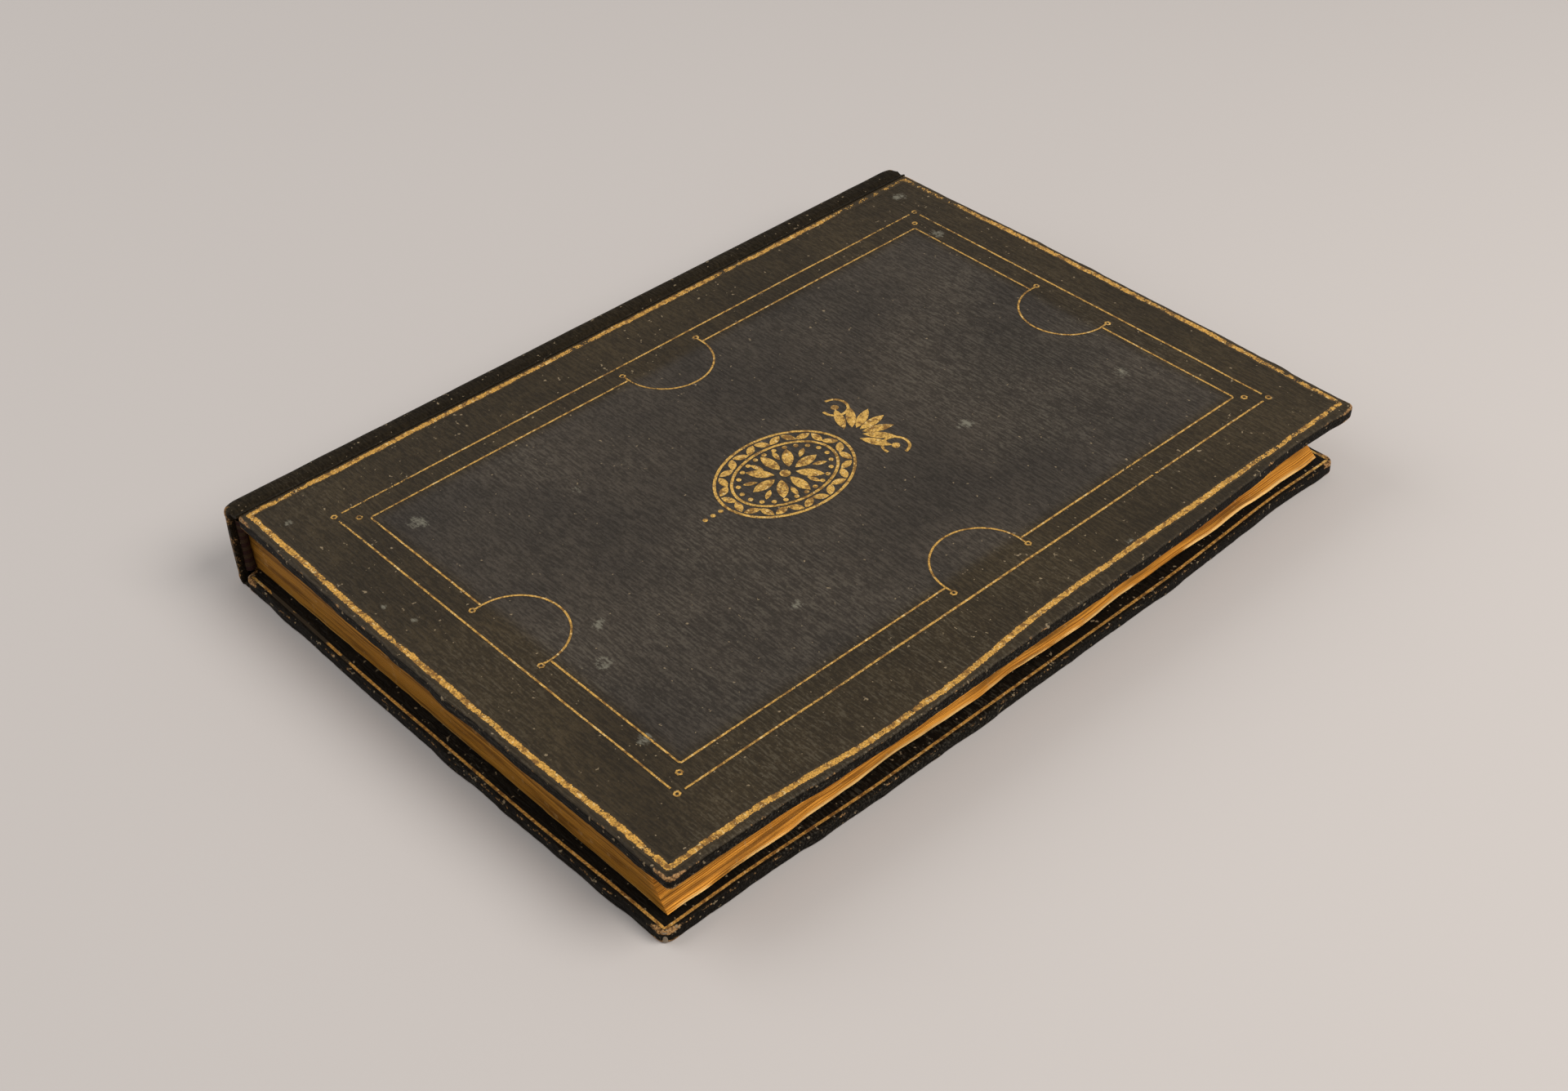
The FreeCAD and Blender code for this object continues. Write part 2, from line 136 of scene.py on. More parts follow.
# The centre stamp.
STAMP_Y = -10.0 * MM
STAMP_LINE = 1.1 * MM
WREATH = (18.0 * MM, 23.5 * MM)
WREATH_DEPTH = 5.2 * MM
PALMETTE_BASE = 18.4 * MM
SCROLL_OUT = 13.4 * MM
SCROLL_RISE = 5.2 * MM
LEAF_SIDES = 7
BEAD_SIDES = 12
BEAD_RINGS = 3

# The leaves and the endbands.
FORE_HOLLOW = 4.4 * MM
FORE_HOLLOW_MORE = 2.8 * MM
HEAD_SET_BACK = 1.2 * MM
LEAVES_PAST = 0.30 * MM
SILK = 0.26 * MM
SILK_TURNS = 40

# The view of the photograph.
VIEW_AZIMUTH = math.radians(47.98)
VIEW_ELEVATION = math.radians(39.60)
VIEW_ROLL = math.radians(-1.62)
VIEW_PLACE = Vector((0.38396, -0.35283, 0.42268))
VIEW_LENS = 49.52


def clamp(value, low=0.0, high=1.0):
    return max(low, min(high, value))


def ease(value, low, high):
    """0 below low, 1 above high, and smooth in between."""
    t = clamp((value - low) / (high - low))
    return t * t * (3 - 2 * t)


def ripple(x, y, z, size, seed=0.0):
    """Smooth noise from -1 to 1, with features of about that size."""
    return noise.noise(Vector((x / size + seed, y / size - seed, z / size + 2 * seed)))


# Node trees


class Nodes:
    """A node tree that is being built."""

    def __init__(self, tree):
        self.tree = tree

    def join(self, node, name, value):
        """Links a socket to a node's input, or sets a plain value there."""
        if isinstance(value, bpy.types.NodeSocket):
            self.tree.links.new(value, node.inputs[name])
        else:
            node.inputs[name].default_value = value

    def add(self, kind, inputs=None, **settings):
        made = self.tree.nodes.new(kind)
        for name, value in settings.items():
            setattr(made, name, value)
        for name, value in (inputs or {}).items():
            self.join(made, name, value)
        return made

    def maths(self, operation, first, second=0.0):
        return self.add("ShaderNodeMath", {0: first, 1: second}, operation=operation).outputs[0]

    def plus(self, first, *others):
        for other in others:
            first = self.maths("ADD", first, other)
        return first

    def minus(self, first, *others):
        for other in others:
            first = self.maths("SUBTRACT", first, other)
        return first

    def times(self, first, second):
        return self.maths("MULTIPLY", first, second)


class Finish(Nodes):
    """A material that is being built. Its patterns follow the object's own coordinates."""

    def __init__(self, name):
        self.material = bpy.data.materials.new(name)
        self.material.use_nodes = True
        super().__init__(self.material.node_tree)
        self.shader = self.tree.nodes["Principled BSDF"]
        self.place = self.add("ShaderNodeTexCoord").outputs["Object"]

    def remap(self, value, low, high, to_low=0.0, to_high=1.0):
        inputs = {"Value": value, "From Min": low, "From Max": high, "To Min": to_low, "To Max": to_high}
        return self.add("ShaderNodeMapRange", inputs, interpolation_type="SMOOTHSTEP").outputs[0]

    def blend(self, share, first, second):
        """A colour between two, which are sockets or three numbers."""
        inputs = {0: share}
        for key, colour in ((6, first), (7, second)):
            inputs[key] = colour if isinstance(colour, bpy.types.NodeSocket) else (*colour, 1.0)
        return self.add("ShaderNodeMix", inputs, data_type="RGBA").outputs[2]

    def grain(self, scale, detail=2.0, roughness=0.5, distortion=0.0, place=None):
        """Noise from 0 to 1 at a scale of features in each metre, the same or different along X, Y and Z."""
        place = self.place if place is None else place
        if isinstance(scale, tuple):
            place = self.add("ShaderNodeMapping", {"Vector": place, "Scale": scale}).outputs[0]
            scale = 1.0
        inputs = {"Vector": place, "Scale": scale, "Detail": detail, "Roughness": roughness,
                  "Distortion": distortion}
        return self.add("ShaderNodeTexNoise", inputs).outputs[0]

    def stored(self, name):
        """A number that the mesh keeps at its points."""
        return self.add("ShaderNodeAttribute", attribute_name=name).outputs["Fac"]

    def surface(self, colour, roughness, metal=0.0, sheen=0.0, gloss=0.5, height=None, depth=0.0):
        """The finished material, with bump of a depth in metres."""
        inputs = {"Base Color": colour, "Roughness": roughness, "Metallic": metal, "Sheen Weight": sheen,
                  "Specular IOR Level": gloss}
        if height is not None:
            bump = self.add("ShaderNodeBump", {"Height": height, "Strength": 1.0, "Distance": depth})
            inputs["Normal"] = bump.outputs[0]
        for name, value in inputs.items():
            self.join(self.shader, name, value)
        return self.material


# Materials


def leather_grain(f):
    """Straight grain: fine ridges that run across the board, broken and crossed by creases."""
    ridges = f.grain((230.0, 1500.0, 1500.0), 1.5, 0.5, 0.5)
    creases = f.grain((900.0, 1250.0, 1250.0), 2.0, 0.6)
    pores = f.grain(3600.0, 1.0)
    return f.plus(f.times(ridges, 0.6), f.times(creases, 0.45), f.times(pores, 0.12))


def leather_colour(f, height):
    """Charcoal in the middle field and olive brown round it. Painted shade makes it near black on the edges, the
    turn-ins and part way on the spine, and darker in the hollows of the grain, and a painted highlight makes the
    grain's ridges lighter."""
    border = f.stored("border")
    blotches = f.remap(f.grain(28.0, 3.0, 0.6), 0.3, 0.7)
    field = f.blend(blotches, (0.026, 0.0212, 0.0168), (0.041, 0.0328, 0.0248))
    margin = f.blend(blotches, (0.0185, 0.0125, 0.0055), (0.0315, 0.0215, 0.0094))
    body = f.blend(f.remap(border, 0.0, 1.0), field, margin)
    # Painted shade: the walls, turn-ins and spine are blended towards near black.
    body = f.blend(f.remap(border, 1.0, 1.8), body, (0.0060, 0.0048, 0.0034))
    # Painted shade and highlight: the colour is darkened in the grain's hollows and lightened on its ridges.
    grain_shade_and_highlight = f.remap(height, 0.45, 0.74, 0.62, 1.42)
    body = f.add("ShaderNodeVectorMath", {0: body, "Scale": grain_shade_and_highlight}, operation="SCALE").outputs[0]
    rubbed = f.remap(f.grain(13.0, 2.0, 0.6), 0.48, 0.68)
    tops = f.times(rubbed, f.remap(height, 0.58, 0.74, 0.0, 0.32))
    return f.blend(tops, body, (0.095, 0.086, 0.064))


def leather_wear(f, height, body):
    """Rubbed edges show brown, scuffs are pale and dusty, and small pale specks lie all over."""
    fine = f.grain(1500.0, 3.0, 0.7)
    wear = f.stored("wear")
    uneven = f.plus(f.times(f.grain(260.0, 3.0, 0.65), 0.75), f.times(fine, 0.45))
    rubbed = f.remap(f.plus(wear, uneven), 1.16, 1.30)
    brown = f.blend(f.remap(fine, 0.35, 0.65), (0.085, 0.040, 0.015), (0.42, 0.235, 0.095))
    body = f.blend(rubbed, body, brown)
    patches = f.plus(f.times(f.grain(330.0, 3.0, 0.75), 1.1), f.times(height, 0.7))
    scuffed = f.remap(f.plus(f.times(f.stored("scuff"), 0.7), patches), 1.42, 1.72, 0.0, 0.7)
    body = f.blend(scuffed, body, (0.185, 0.175, 0.135))
    near_edge = f.plus(f.times(f.stored("border"), 0.022), f.times(wear, 0.05))
    specks = f.remap(f.plus(f.grain(620.0, 2.0, 0.5), near_edge), 0.725, 0.765, 0.0, 0.75)
    return f.blend(specks, body, (0.27, 0.205, 0.125)), rubbed, scuffed


def make_leather(name, gloss):
    f = Finish(name)
    height = leather_grain(f)
    colour, rubbed, scuffed = leather_wear(f, height, leather_colour(f, height))
    dull = f.plus(f.remap(height, 0.4, 0.8, 0.66, 0.46), f.times(rubbed, 0.25), f.times(scuffed, 0.2))
    f.join(f.shader, "Specular Tint", (1.0, 0.90, 0.78, 1.0))
    return f.surface(colour, dull, gloss=gloss, height=height, depth=0.45 * MM)


def make_gold(name, loss, ragged, bright):
    """Gold leaf on leather. The loss is the share that is rubbed off, and ragged says how far the sides wander."""
    f = Finish(name)
    from_middle = f.maths("ABSOLUTE", f.minus(f.times(f.stored("across"), 2.0), 1.0))
    coarse = f.grain(400.0, 3.0, 0.7)
    fine = f.grain(2200.0, 2.0, 0.6)
    mixed = f.plus(f.times(coarse, 0.65), f.times(fine, 0.35))
    edge = f.remap(from_middle, 1.0 - ragged, 1.0, 0.0, 0.42)
    left = f.minus(mixed, edge, f.times(f.stored("fade"), 0.3))
    there = f.remap(left, loss - 0.05, loss + 0.05)
    leaf = f.blend(f.remap(fine, 0.35, 0.65), tuple(c * 0.5 for c in bright), bright)
    dirt = f.remap(f.grain(420.0, 3.0, 0.7), 0.46, 0.62, 0.0, 0.85)
    leaf = f.blend(dirt, leaf, (0.20, 0.095, 0.030))
    # Painted glints: small bright specks of lighter gold scattered over the leaf.
    painted_glints = f.remap(f.grain(760.0, 2.0, 0.6), 0.60, 0.68, 0.0, 0.8)
    leaf = f.blend(painted_glints, leaf, (1.0, 0.72, 0.32))
    body = f.blend(coarse, (0.022, 0.016, 0.008), (0.050, 0.034, 0.017))
    return f.surface(f.blend(there, body, leaf), f.remap(there, 0.0, 1.0, 0.6, 0.36), metal=f.times(there, 0.55),
                     gloss=0.2, height=f.plus(leather_grain(f), there), depth=0.1 * MM)


def make_leaf_edges():
    """Gilt edges of the leaves: fine lines from leaf to leaf, rubbed and stained, with the fore-edge painted lit and
    the head, tail and back painted darker brown as shade.
    """
    f = Finish("gilt_leaf_edges")
    level, bright = f.stored("level"), f.stored("bright")
    spread = f.add("ShaderNodeSeparateXYZ", {0: f.place})
    along = f.plus(spread.outputs[0], spread.outputs[1])

    def streaks(from_leaf_to_leaf, along_them, detail, roughness):
        drawn = {0: f.times(level, from_leaf_to_leaf), 1: f.times(along, along_them)}
        return f.grain(1.0, detail, roughness, place=f.add("ShaderNodeCombineXYZ", drawn).outputs[0])

    lines = streaks(95.0, 14.0, 3.0, 0.6)
    streak = f.remap(lines, 0.32, 0.68)
    # Painted light and shade: the dull colour paints the head, tail and back in shade, and the lit colour paints the
    # fore-edge lit.
    dull = f.blend(streak, (0.150, 0.062, 0.007), (0.48, 0.235, 0.032))
    lit_gilt = f.blend(streak, (0.30, 0.098, 0.009), (0.95, 0.410, 0.052))
    colour = f.blend(bright, dull, lit_gilt)
    stain = f.remap(streaks(12.0, 30.0, 2.0, 0.5), 0.46, 0.66, 0.0, 0.7)
    colour = f.blend(stain, colour, (0.105, 0.038, 0.006))
    worn = f.remap(f.grain(330.0, 3.0, 0.7), 0.60, 0.72, 0.0, 0.55)
    colour = f.blend(worn, colour, (0.50, 0.30, 0.12))
    # Painted highlight: a bright line along the edge of the lowest leaves, broken by noise.
    lip = f.times(f.remap(level, 0.012, 0.045, 0.9, 0.0), f.remap(f.grain(60.0, 2.0, 0.5), 0.40, 0.56))
    colour = f.blend(f.times(lip, bright), colour, (1.0, 0.62, 0.22))
    return f.surface(colour, f.remap(lines, 0.3, 0.7, 0.5, 0.36), metal=0.35, gloss=0.12, height=lines,
                     depth=0.22 * MM)


def make_paper(name, light, dark, gilt=False):
    """Aged laid paper, with foxing. The edges of a free leaf are gilt as the sewn leaves are."""
    f = Finish(name)
    fibre = f.grain((900.0, 2400.0, 900.0), 3.0, 0.6)
    foxing = f.remap(f.grain(210.0, 3.0, 0.6), 0.68, 0.80, 0.0, 0.45)
    edge_tone = f.remap(f.grain(7.0, 2.0, 0.5), 0.35, 0.7, 0.0, 0.35)
    colour = f.blend(f.grain(22.0, 3.0, 0.6), dark, light)
    colour = f.blend(edge_tone, colour, tuple(c * s for c, s in zip(dark, (0.85, 0.78, 0.66))))
    colour = f.blend(foxing, colour, (0.38, 0.21, 0.09))
    if gilt:
        facing = f.add("ShaderNodeSeparateXYZ", {0: f.add("ShaderNodeTexCoord").outputs["Normal"]}).outputs[2]
        colour = f.blend(f.remap(f.maths("ABSOLUTE", facing), 0.3, 0.6), (0.30, 0.135, 0.022), colour)
    return f.surface(colour, f.remap(fibre, 0.2, 0.8, 0.8, 0.95), height=fibre, depth=0.05 * MM)


def make_threads(name, light, dark, pitch):
    """Thread or cloth, with the direction of its yarns along Z."""
    f = Finish(name)
    yarn = f.grain((pitch, pitch, pitch / 6), 2.0, 0.5)
    return f.surface(f.blend(yarn, dark, light), f.remap(yarn, 0.2, 0.8, 0.65, 0.85), sheen=0.04, gloss=0.2,
                     height=yarn, depth=0.08 * MM)


def make_floor_finish():
    f = Finish("pale_floor")
    return f.surface(f.blend(f.grain(2.0, 2.0), (0.50, 0.465, 0.445), (0.53, 0.495, 0.475)), 0.9)


leather = make_leather("worn_straight_grain_leather", 0.27)
# A less glossy copy of the leather, for the faces painted in shade: walls, turn-ins and spine.
shaded_edge_leather = make_leather("darkened_edge_leather", 0.07)
border_gold = make_gold("worn_border_gold", 0.385, 0.7, (0.94, 0.51, 0.11))
line_gold = make_gold("worn_line_gold", 0.33, 0.35, (0.92, 0.53, 0.13))
stamp_gold = make_gold("stamp_gold", 0.30, 0.30, (1.0, 0.60, 0.15))
leaf_edges = make_leaf_edges()
endpaper = make_paper("aged_endpaper", (0.64, 0.53, 0.37), (0.54, 0.43, 0.28))
flyleaf = make_paper("aged_flyleaf", (0.66, 0.55, 0.39), (0.56, 0.45, 0.30), gilt=True)
pasteboard = make_paper("grey_brown_pasteboard", (0.30, 0.24, 0.17), (0.22, 0.17, 0.12))
lining = make_threads("glued_muslin", (0.52, 0.45, 0.33), (0.36, 0.30, 0.21), 2600.0)
cord = make_threads("hemp_cord", (0.50, 0.40, 0.26), (0.32, 0.25, 0.15), 3200.0)
# Painted shade: both silks are darkened to near black, far below their own red and gold, because the endbands lie in
# shade.
silk_red = make_threads("dull_red_silk", (0.050, 0.014, 0.009), (0.018, 0.006, 0.004), 4200.0)
silk_gold = make_threads("faded_gold_silk", (0.075, 0.040, 0.016), (0.028, 0.015, 0.007), 4200.0)


# Meshes and objects


def show(name, data):
    """A new object in the scene."""
    made = bpy.data.objects.new(name, data)
    bpy.context.scene.collection.objects.link(made)
    return made


def store(mesh, name, values):
    """Keeps a number at each point of a mesh, for its materials."""
    layer = mesh.attributes.new(name, "FLOAT", "POINT")
    layer.data.foreach_set("value", np.asarray(values, np.float32))


def build_mesh(name, points, faces, materials, numbers=None):
    mesh = bpy.data.meshes.new(name)
    mesh.from_pydata([tuple(p) for p in points], [], faces)
    for key, values in (numbers or {}).items():
        store(mesh, key, values)
    for material in materials:
        mesh.materials.append(material)
    mesh.shade_smooth()
    return show(name, mesh)


def grid_faces(rows, columns, start=0, flip=False):
    faces = []
    for i in range(rows - 1):
        for j in range(columns - 1):
            a = start + i * columns + j
            face = (a, a + 1, a + columns + 1, a + columns)
            faces.append(face[::-1] if flip else face)
    return faces


def even_steps(start, end, pitch):
    count = max(1, round(abs(end - start) / pitch))
    return [start + (end - start) * n / count for n in range(count + 1)]


def plain_mesh(made):
    """The mesh that an object's modifiers make. The modifiers are removed."""
    shown = made.evaluated_get(bpy.context.evaluated_depsgraph_get())
    mesh = bpy.data.meshes.new_from_object(shown)
    made.modifiers.clear()
    return mesh


# The covers' own coordinates: u from the spine edge, v from the middle, and depth below the outer face.


def edge_bow(u, v):
    """How far the old boards stand out past a straight edge, at the fore-edge, head and tail."""
    middle_v = ease(v, -0.118, -0.060) * (1 - ease(v, 0.050, 0.118))
    middle_u = ease(u, 0.010, 0.070) * (1 - ease(u, 0.130, 0.188))
    fore = FORE_BOW * middle_v - FORE_DIP * ease(v, 0.080, 0.112) + FORE_HEAD_SWELL * ease(v, 0.108, 0.136)
    du = fore * ease(u, 0.172, 0.188)
    dv = END_BOW * middle_u * (ease(v, 0.122, 0.136) - 0.8 * ease(-v, 0.120, 0.136))
    return du, dv


def on_front(u, v, depth):
    du, dv = edge_bow(u, v)
    x = u + du + FRONT_EDGE_X - FRONT_HINGE.x
    depth += SAG * ripple(u, v, 0, 60 * MM, 3.0)
    return Vector((
        FRONT_HINGE.x + x * math.cos(SLOPE) - depth * math.sin(SLOPE),
        v + dv + SLIP,
        FRONT_HINGE.z - x * math.sin(SLOPE) - depth * math.cos(SLOPE),
    ))


def on_back(u, v, depth):
    du, dv = edge_bow(u, v)
    return Vector((BACK_EDGE_X + u + BACK_BOW_SHARE * du, v + dv - SLIP, depth))


# The scuffs on a cover, as u, v and radius in millimetres.
SCUFFS = (
    (13, -131, 5), (40, -103, 8), (124, -102, 7), (111, -93, 6), (36, 120, 7), (10, 127, 7), (118, 47, 7),
    (143, -48, 5), (64, -131, 3), (74, -128, 3), (154, -113, 6), (188, 40, 5), (134, 102, 7), (60, -60, 4),
)


def scuff_at(u, v):
    return max(1 - ease(math.hypot(u - x * MM, v - y * MM) / (size * MM), 0.0, 1.0) for x, y, size in SCUFFS)


def border_at(u, v):
    """0 inside the inner frame and 1 outside it."""
    inner = OUTER_FRAME + FRAME_SPACING
    head = HALF_HEIGHT - OUTER_FRAME_HEAD - FRAME_SPACING
    gaps = (u - inner, COVER_WIDTH - inner - u, v + HALF_HEIGHT - inner, head - v)
    return 1 - ease(min(gaps), -2 * MM, 6 * MM)


def rim_stations(corner):
    """Distances over a board's edge from the start of its corner, from the outer face to the inner one."""
    stations, reached = [], 0.0
    for length in (corner - ARRIS, RIM_ARC, RIM_WALL, RIM_ARC):
        stations += [reached + length * n / 4 for n in range(1, 5)]
        reached += length
    return stations + [reached + 1.0 * MM]


def rim_profile(distance, corner):
    """How far out and how deep the leather is, at a distance over the edge."""
    flat = corner - ARRIS
    if distance <= flat:
        return distance, 0.0
    distance -= flat
    if distance <= RIM_ARC:
        turn = distance / ARRIS
        return flat + ARRIS * math.sin(turn), ARRIS * (1 - math.cos(turn))
    distance -= RIM_ARC
    if distance <= RIM_WALL:
        return corner, ARRIS + distance
    distance -= RIM_WALL
    if distance <= RIM_ARC:
        turn = distance / ARRIS
        return flat + ARRIS * math.cos(turn), COVER_THICKNESS - ARRIS + ARRIS * math.sin(turn)
    return flat - (distance - RIM_ARC), COVER_THICKNESS


def edge_damage(u, v, out, depth, seed):
    """How far the leather is pushed in at a board's rim: small unevenness and a few swellings."""
    if out <= 0 and depth <= 0:
        return 0.0
    small = 0.12 * MM * ripple(u, v, depth, 2.2 * MM, seed) + 0.10 * MM * ripple(u, v, depth, 8 * MM, seed)
    swollen = max(0.0, ripple(u, v, 0, 16 * MM, seed + 5) - 0.1) * 1.1 * MM
    return ease(out, 0.4 * MM, 1.6 * MM) * (small - swollen)


def edge_wear(u, v, out, depth):
    """How rubbed the leather is: along both arrises, and most at the corners."""
    arris = 1 - abs(depth - ARRIS * 0.5) / (1.6 * ARRIS)
    low_arris = 1 - abs(depth - COVER_THICKNESS + ARRIS * 0.5) / (1.4 * ARRIS)
    rubbed = clamp(max(0.56 * arris, 0.60 * low_arris)) * ease(out, 0.6 * MM, 1.4 * MM)
    from_corner = math.hypot(COVER_WIDTH / 2 - abs(u - COVER_WIDTH / 2), HALF_HEIGHT - abs(v))
    near_corner = 1 - ease(from_corner, 2 * MM, 9 * MM)
    return rubbed + 0.30 * near_corner * ease(out, 0.4 * MM, 1.4 * MM)


def cover_wrap(place, corner, seed):
    """The leather round a board: its outer face, its edges and the start of the turn-ins."""
    rim = rim_stations(corner)
    half_u = COVER_WIDTH / 2 - corner
    half_v = HALF_HEIGHT - corner

    def stations(half):
        return [-half - r for r in reversed(rim)] + even_steps(-half, half, HIDE_PITCH) + [half + r for r in rim]

    axis_u, axis_v = stations(half_u), stations(half_v)
    points, wear, scuff, border = [], [], [], []
    for a in axis_u:
        for b in axis_v:
            over_u = max(0.0, abs(a) - half_u)
            over_v = max(0.0, abs(b) - half_v)
            distance = max(over_u, over_v)
            out, depth = rim_profile(distance, corner)
            if over_u > 0 and over_v > 0:
                eighth = math.pi / 4
                turn = over_v / over_u * eighth if over_u >= over_v else math.pi / 2 - over_u / over_v * eighth
            else:
                turn = 0.0 if over_u > 0 else math.pi / 2
            push_u = math.copysign(math.cos(turn), a) if distance > 0 else 0.0
            push_v = math.copysign(math.sin(turn), b) if distance > 0 else 0.0
            u = math.copysign(min(abs(a), half_u), a) + out * push_u + COVER_WIDTH / 2
            v = math.copysign(min(abs(b), half_v), b) + out * push_v
            damage = edge_damage(u, v, out, depth, seed)
            points.append(place(u - damage * push_u, v - damage * push_v, depth))
            wear.append(edge_wear(u, v, out, depth))
            scuff.append(scuff_at(u, v))
            # Past the outer arris the value climbs towards 2, which paints the board's edge near black as shade.
            border.append(border_at(u, v) + ease(depth, 0.3 * ARRIS, ARRIS))
    return points, grid_faces(len(axis_u), len(axis_v), flip=True), wear, scuff, border


def turn_ins(place, start):
    """The flat leather frame round the inner face of a cover, mitred at its corners."""
    near = ARRIS + 0.7 * MM
    depth = COVER_THICKNESS + 0.02 * MM
    steps = 60
    shares = (0.0, 0.33, 0.66, 1.0)
    points, faces = [], []
    for u0, v0, u1, v1 in ((0, -1, 1, -1), (1, -1, 1, 1), (1, 1, 0, 1), (0, 1, 0, -1)):
        first = start + len(points)
        for share in shares:
            inset = near + share * (TURN_IN - near)
            ends = [Vector((COVER_WIDTH - inset if u else inset, v * (HALF_HEIGHT - inset)))
                    for u, v in ((u0, v0), (u1, v1))]
            points += [place(*ends[0].lerp(ends[1], n / steps), depth) for n in range(steps + 1)]
        faces += grid_faces(len(shares), steps + 1, first, flip=True)
    return points, faces


def spine_section(hinge, board_edge):
    """The section of one half of the spine and one joint, from the middle of the spine to the board. Each point
    is x, the depth below the cover's outer face, the way out as x and depth, and its share in the headcap."""
    middle = FRONT_HINGE.z / 2
    recess = FRONT_HINGE.z - spine_high.z
    foot = recess + SPINE_CORNER
    centre = spine_low.x + SPINE_BULGE + SPINE_CORNER
    start = hinge - 0.9 * MM
    end = board_edge + 0.8 * MM
    dip = GROOVE_DEPTH * min(1.0, (end - start) / (3.5 * MM))
    line = []
    for n in range(12):
        share = n / 11
        line.append((spine_low.x + SPINE_BULGE * share**2, middle + (foot - middle) * share, -1.0, 0.0, 1.0))
    for n in range(1, 9):
        turn = math.pi / 2 * n / 8
        out_x, out_depth = -math.cos(turn), -math.sin(turn)
        line.append((centre + SPINE_CORNER * out_x, foot + SPINE_CORNER * out_depth, out_x, out_depth, 1.0))
    line += [(centre + (start - centre) * n / 3, recess, 0.0, -1.0, 1.0 - n / 3) for n in range(1, 4)]
    for n in range(1, 17):
        share = n / 16
        depth = recess * (1 - share) + dip * math.sin(math.pi * share) ** 2 - 0.01 * MM * share
        line.append((start + (end - start) * share, depth, 0.0, -1.0, 0.0))
    return line, recess


def spine_half(hinge, board_edge, height_of):
    """Half of the spine leather and one joint, in rows from head to tail, rolled into a headcap at each end.
    height_of turns a depth below that cover's outer face into a height."""
    line, recess = spine_section(hinge, board_edge)
    tucked = ((11, 6.5), (6, 6.0), (2, 5.0), (0, 3.8), (0, 2.5))
    loops = [(HALF_HEIGHT - CAP_START * n / 3, inset * MM) for n, inset in tucked]
    for n in range(6):
        turn = math.pi / 2 * n / 5
        loops.append((HALF_HEIGHT - CAP_ROLL * (1 - math.cos(turn)), CAP_ROLL * (1 - math.sin(turn))))
    body = [(y, 0.0) for y in even_steps(HALF_HEIGHT - 1.8 * MM, -HALF_HEIGHT + 1.8 * MM, 1.2 * MM)]
    rounds = loops + body + [(-y, inset) for y, inset in reversed(loops)]
    rows, wear, scuff = [], [], []
    for y, inset in rounds:
        past = clamp((abs(y) - HALF_HEIGHT + ROUNDED_LENGTH) / ROUNDED_LENGTH)
        rounding = (TAIL_ROUNDING if y < 0 else HEAD_ROUNDING) * (1 - math.sqrt(1 - past * past))
        at_end = ease(abs(y), HALF_HEIGHT - 3 * MM, HALF_HEIGHT - 0.4 * MM)
        for x, depth, out_x, out_depth, tuck in line:
            wobble = 0.10 * MM * ripple(x, y, depth, 11 * MM, 8.0) * tuck
            move = inset * tuck - wobble + rounding * tuck * abs(out_x)
            lip = min(x - out_x * move, LIP_X) if out_x < 0 else x
            rows.append(Vector((lip, y, height_of(depth - out_depth * move))))
            shoulder = clamp(1 - abs(depth - recess - 0.6 * MM) / (1.6 * MM)) * tuck
            wear.append(0.56 * at_end * tuck + 0.34 * shoulder)
            scuff.append(0.25 * at_end)
    return rows, len(rounds), len(line), wear, scuff


def make_hide(name, place, corner, seed, hinge, board_edge, height_of, upwards):
    """One cover's leather with its joint and its half of the spine, as one piece."""
    points, faces, wear, scuff, border = cover_wrap(place, corner, seed)
    inner, inner_faces = turn_ins(place, len(points))
    faces += inner_faces
    if not upwards:
        faces = [face[::-1] for face in faces]
    rows, count, width, spine_wear, spine_scuff = spine_half(hinge, board_edge, height_of)
    faces += grid_faces(count, width, len(points) + len(inner), flip=not upwards)
    points += inner + rows
    wear += [0.1] * len(inner) + spine_wear
    scuff += [0.0] * len(inner) + spine_scuff
    # Painted shade: the turn-ins take the near-black wall value, and the spine a value part way to it.
    border += [WALL_SHADE] * len(inner) + [SPINE_SHADE] * len(rows)
    numbers = {"wear": wear, "scuff": scuff, "border": border}
    made = build_mesh(name, points, faces, [leather, shaded_edge_leather], numbers)
    # Faces painted in shade take the less glossy shaded copy of the leather.
    for polygon in made.data.polygons:
        tone = sum(border[n] for n in polygon.vertices)
        polygon.material_index = int(tone > EDGE_FROM * len(polygon.vertices))
    thicken = made.modifiers.new("thickness", "SOLIDIFY")
    thicken.thickness = LEATHER
    thicken.offset = -1.0
    made.data = plain_mesh(made)
    made.data.set_sharp_from_angle(angle=math.radians(50))
    return made


def make_spine_card():
    """The card under the spine leather, short of its rounded ends."""
    low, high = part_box("spine_inlay")
    end = HALF_HEIGHT - CARD_SHORT
    places = even_steps(-end, end, 10 * MM)
    section = ((low.x, low.z), (high.x, low.z), (high.x, high.z), (low.x, high.z))
    points = [(x, y, z) for y in places for x, z in section]
    faces = [(0, 1, 2, 3), tuple(len(points) - n for n in (1, 2, 3, 4))]
    for n in range(len(places) - 1):
        for side in range(4):
            a, b = 4 * n + side, 4 * n + (side + 1) % 4
            faces.append((b, a, a + 4, b + 4))
    made = build_mesh("spine_card", points, faces, [pasteboard])
    made.data.set_sharp_from_angle(angle=math.radians(40))
    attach(made, "book_block")
    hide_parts("spine_inlay")


# Geometry nodes: each tree has named inputs, and is kept with the identifiers of their sockets.


def open_tree(name, inputs):
    tree = bpy.data.node_groups.new(name, "GeometryNodeTree")
    keys = {}
    for label, kind in inputs.items():
        keys[label] = tree.interface.new_socket(label, in_out="INPUT", socket_type="NodeSocket" + kind).identifier
    tree.interface.new_socket("Geometry", in_out="OUTPUT", socket_type="NodeSocketGeometry")
    nodes = Nodes(tree)
    return nodes, nodes.add("NodeGroupInput").outputs, keys


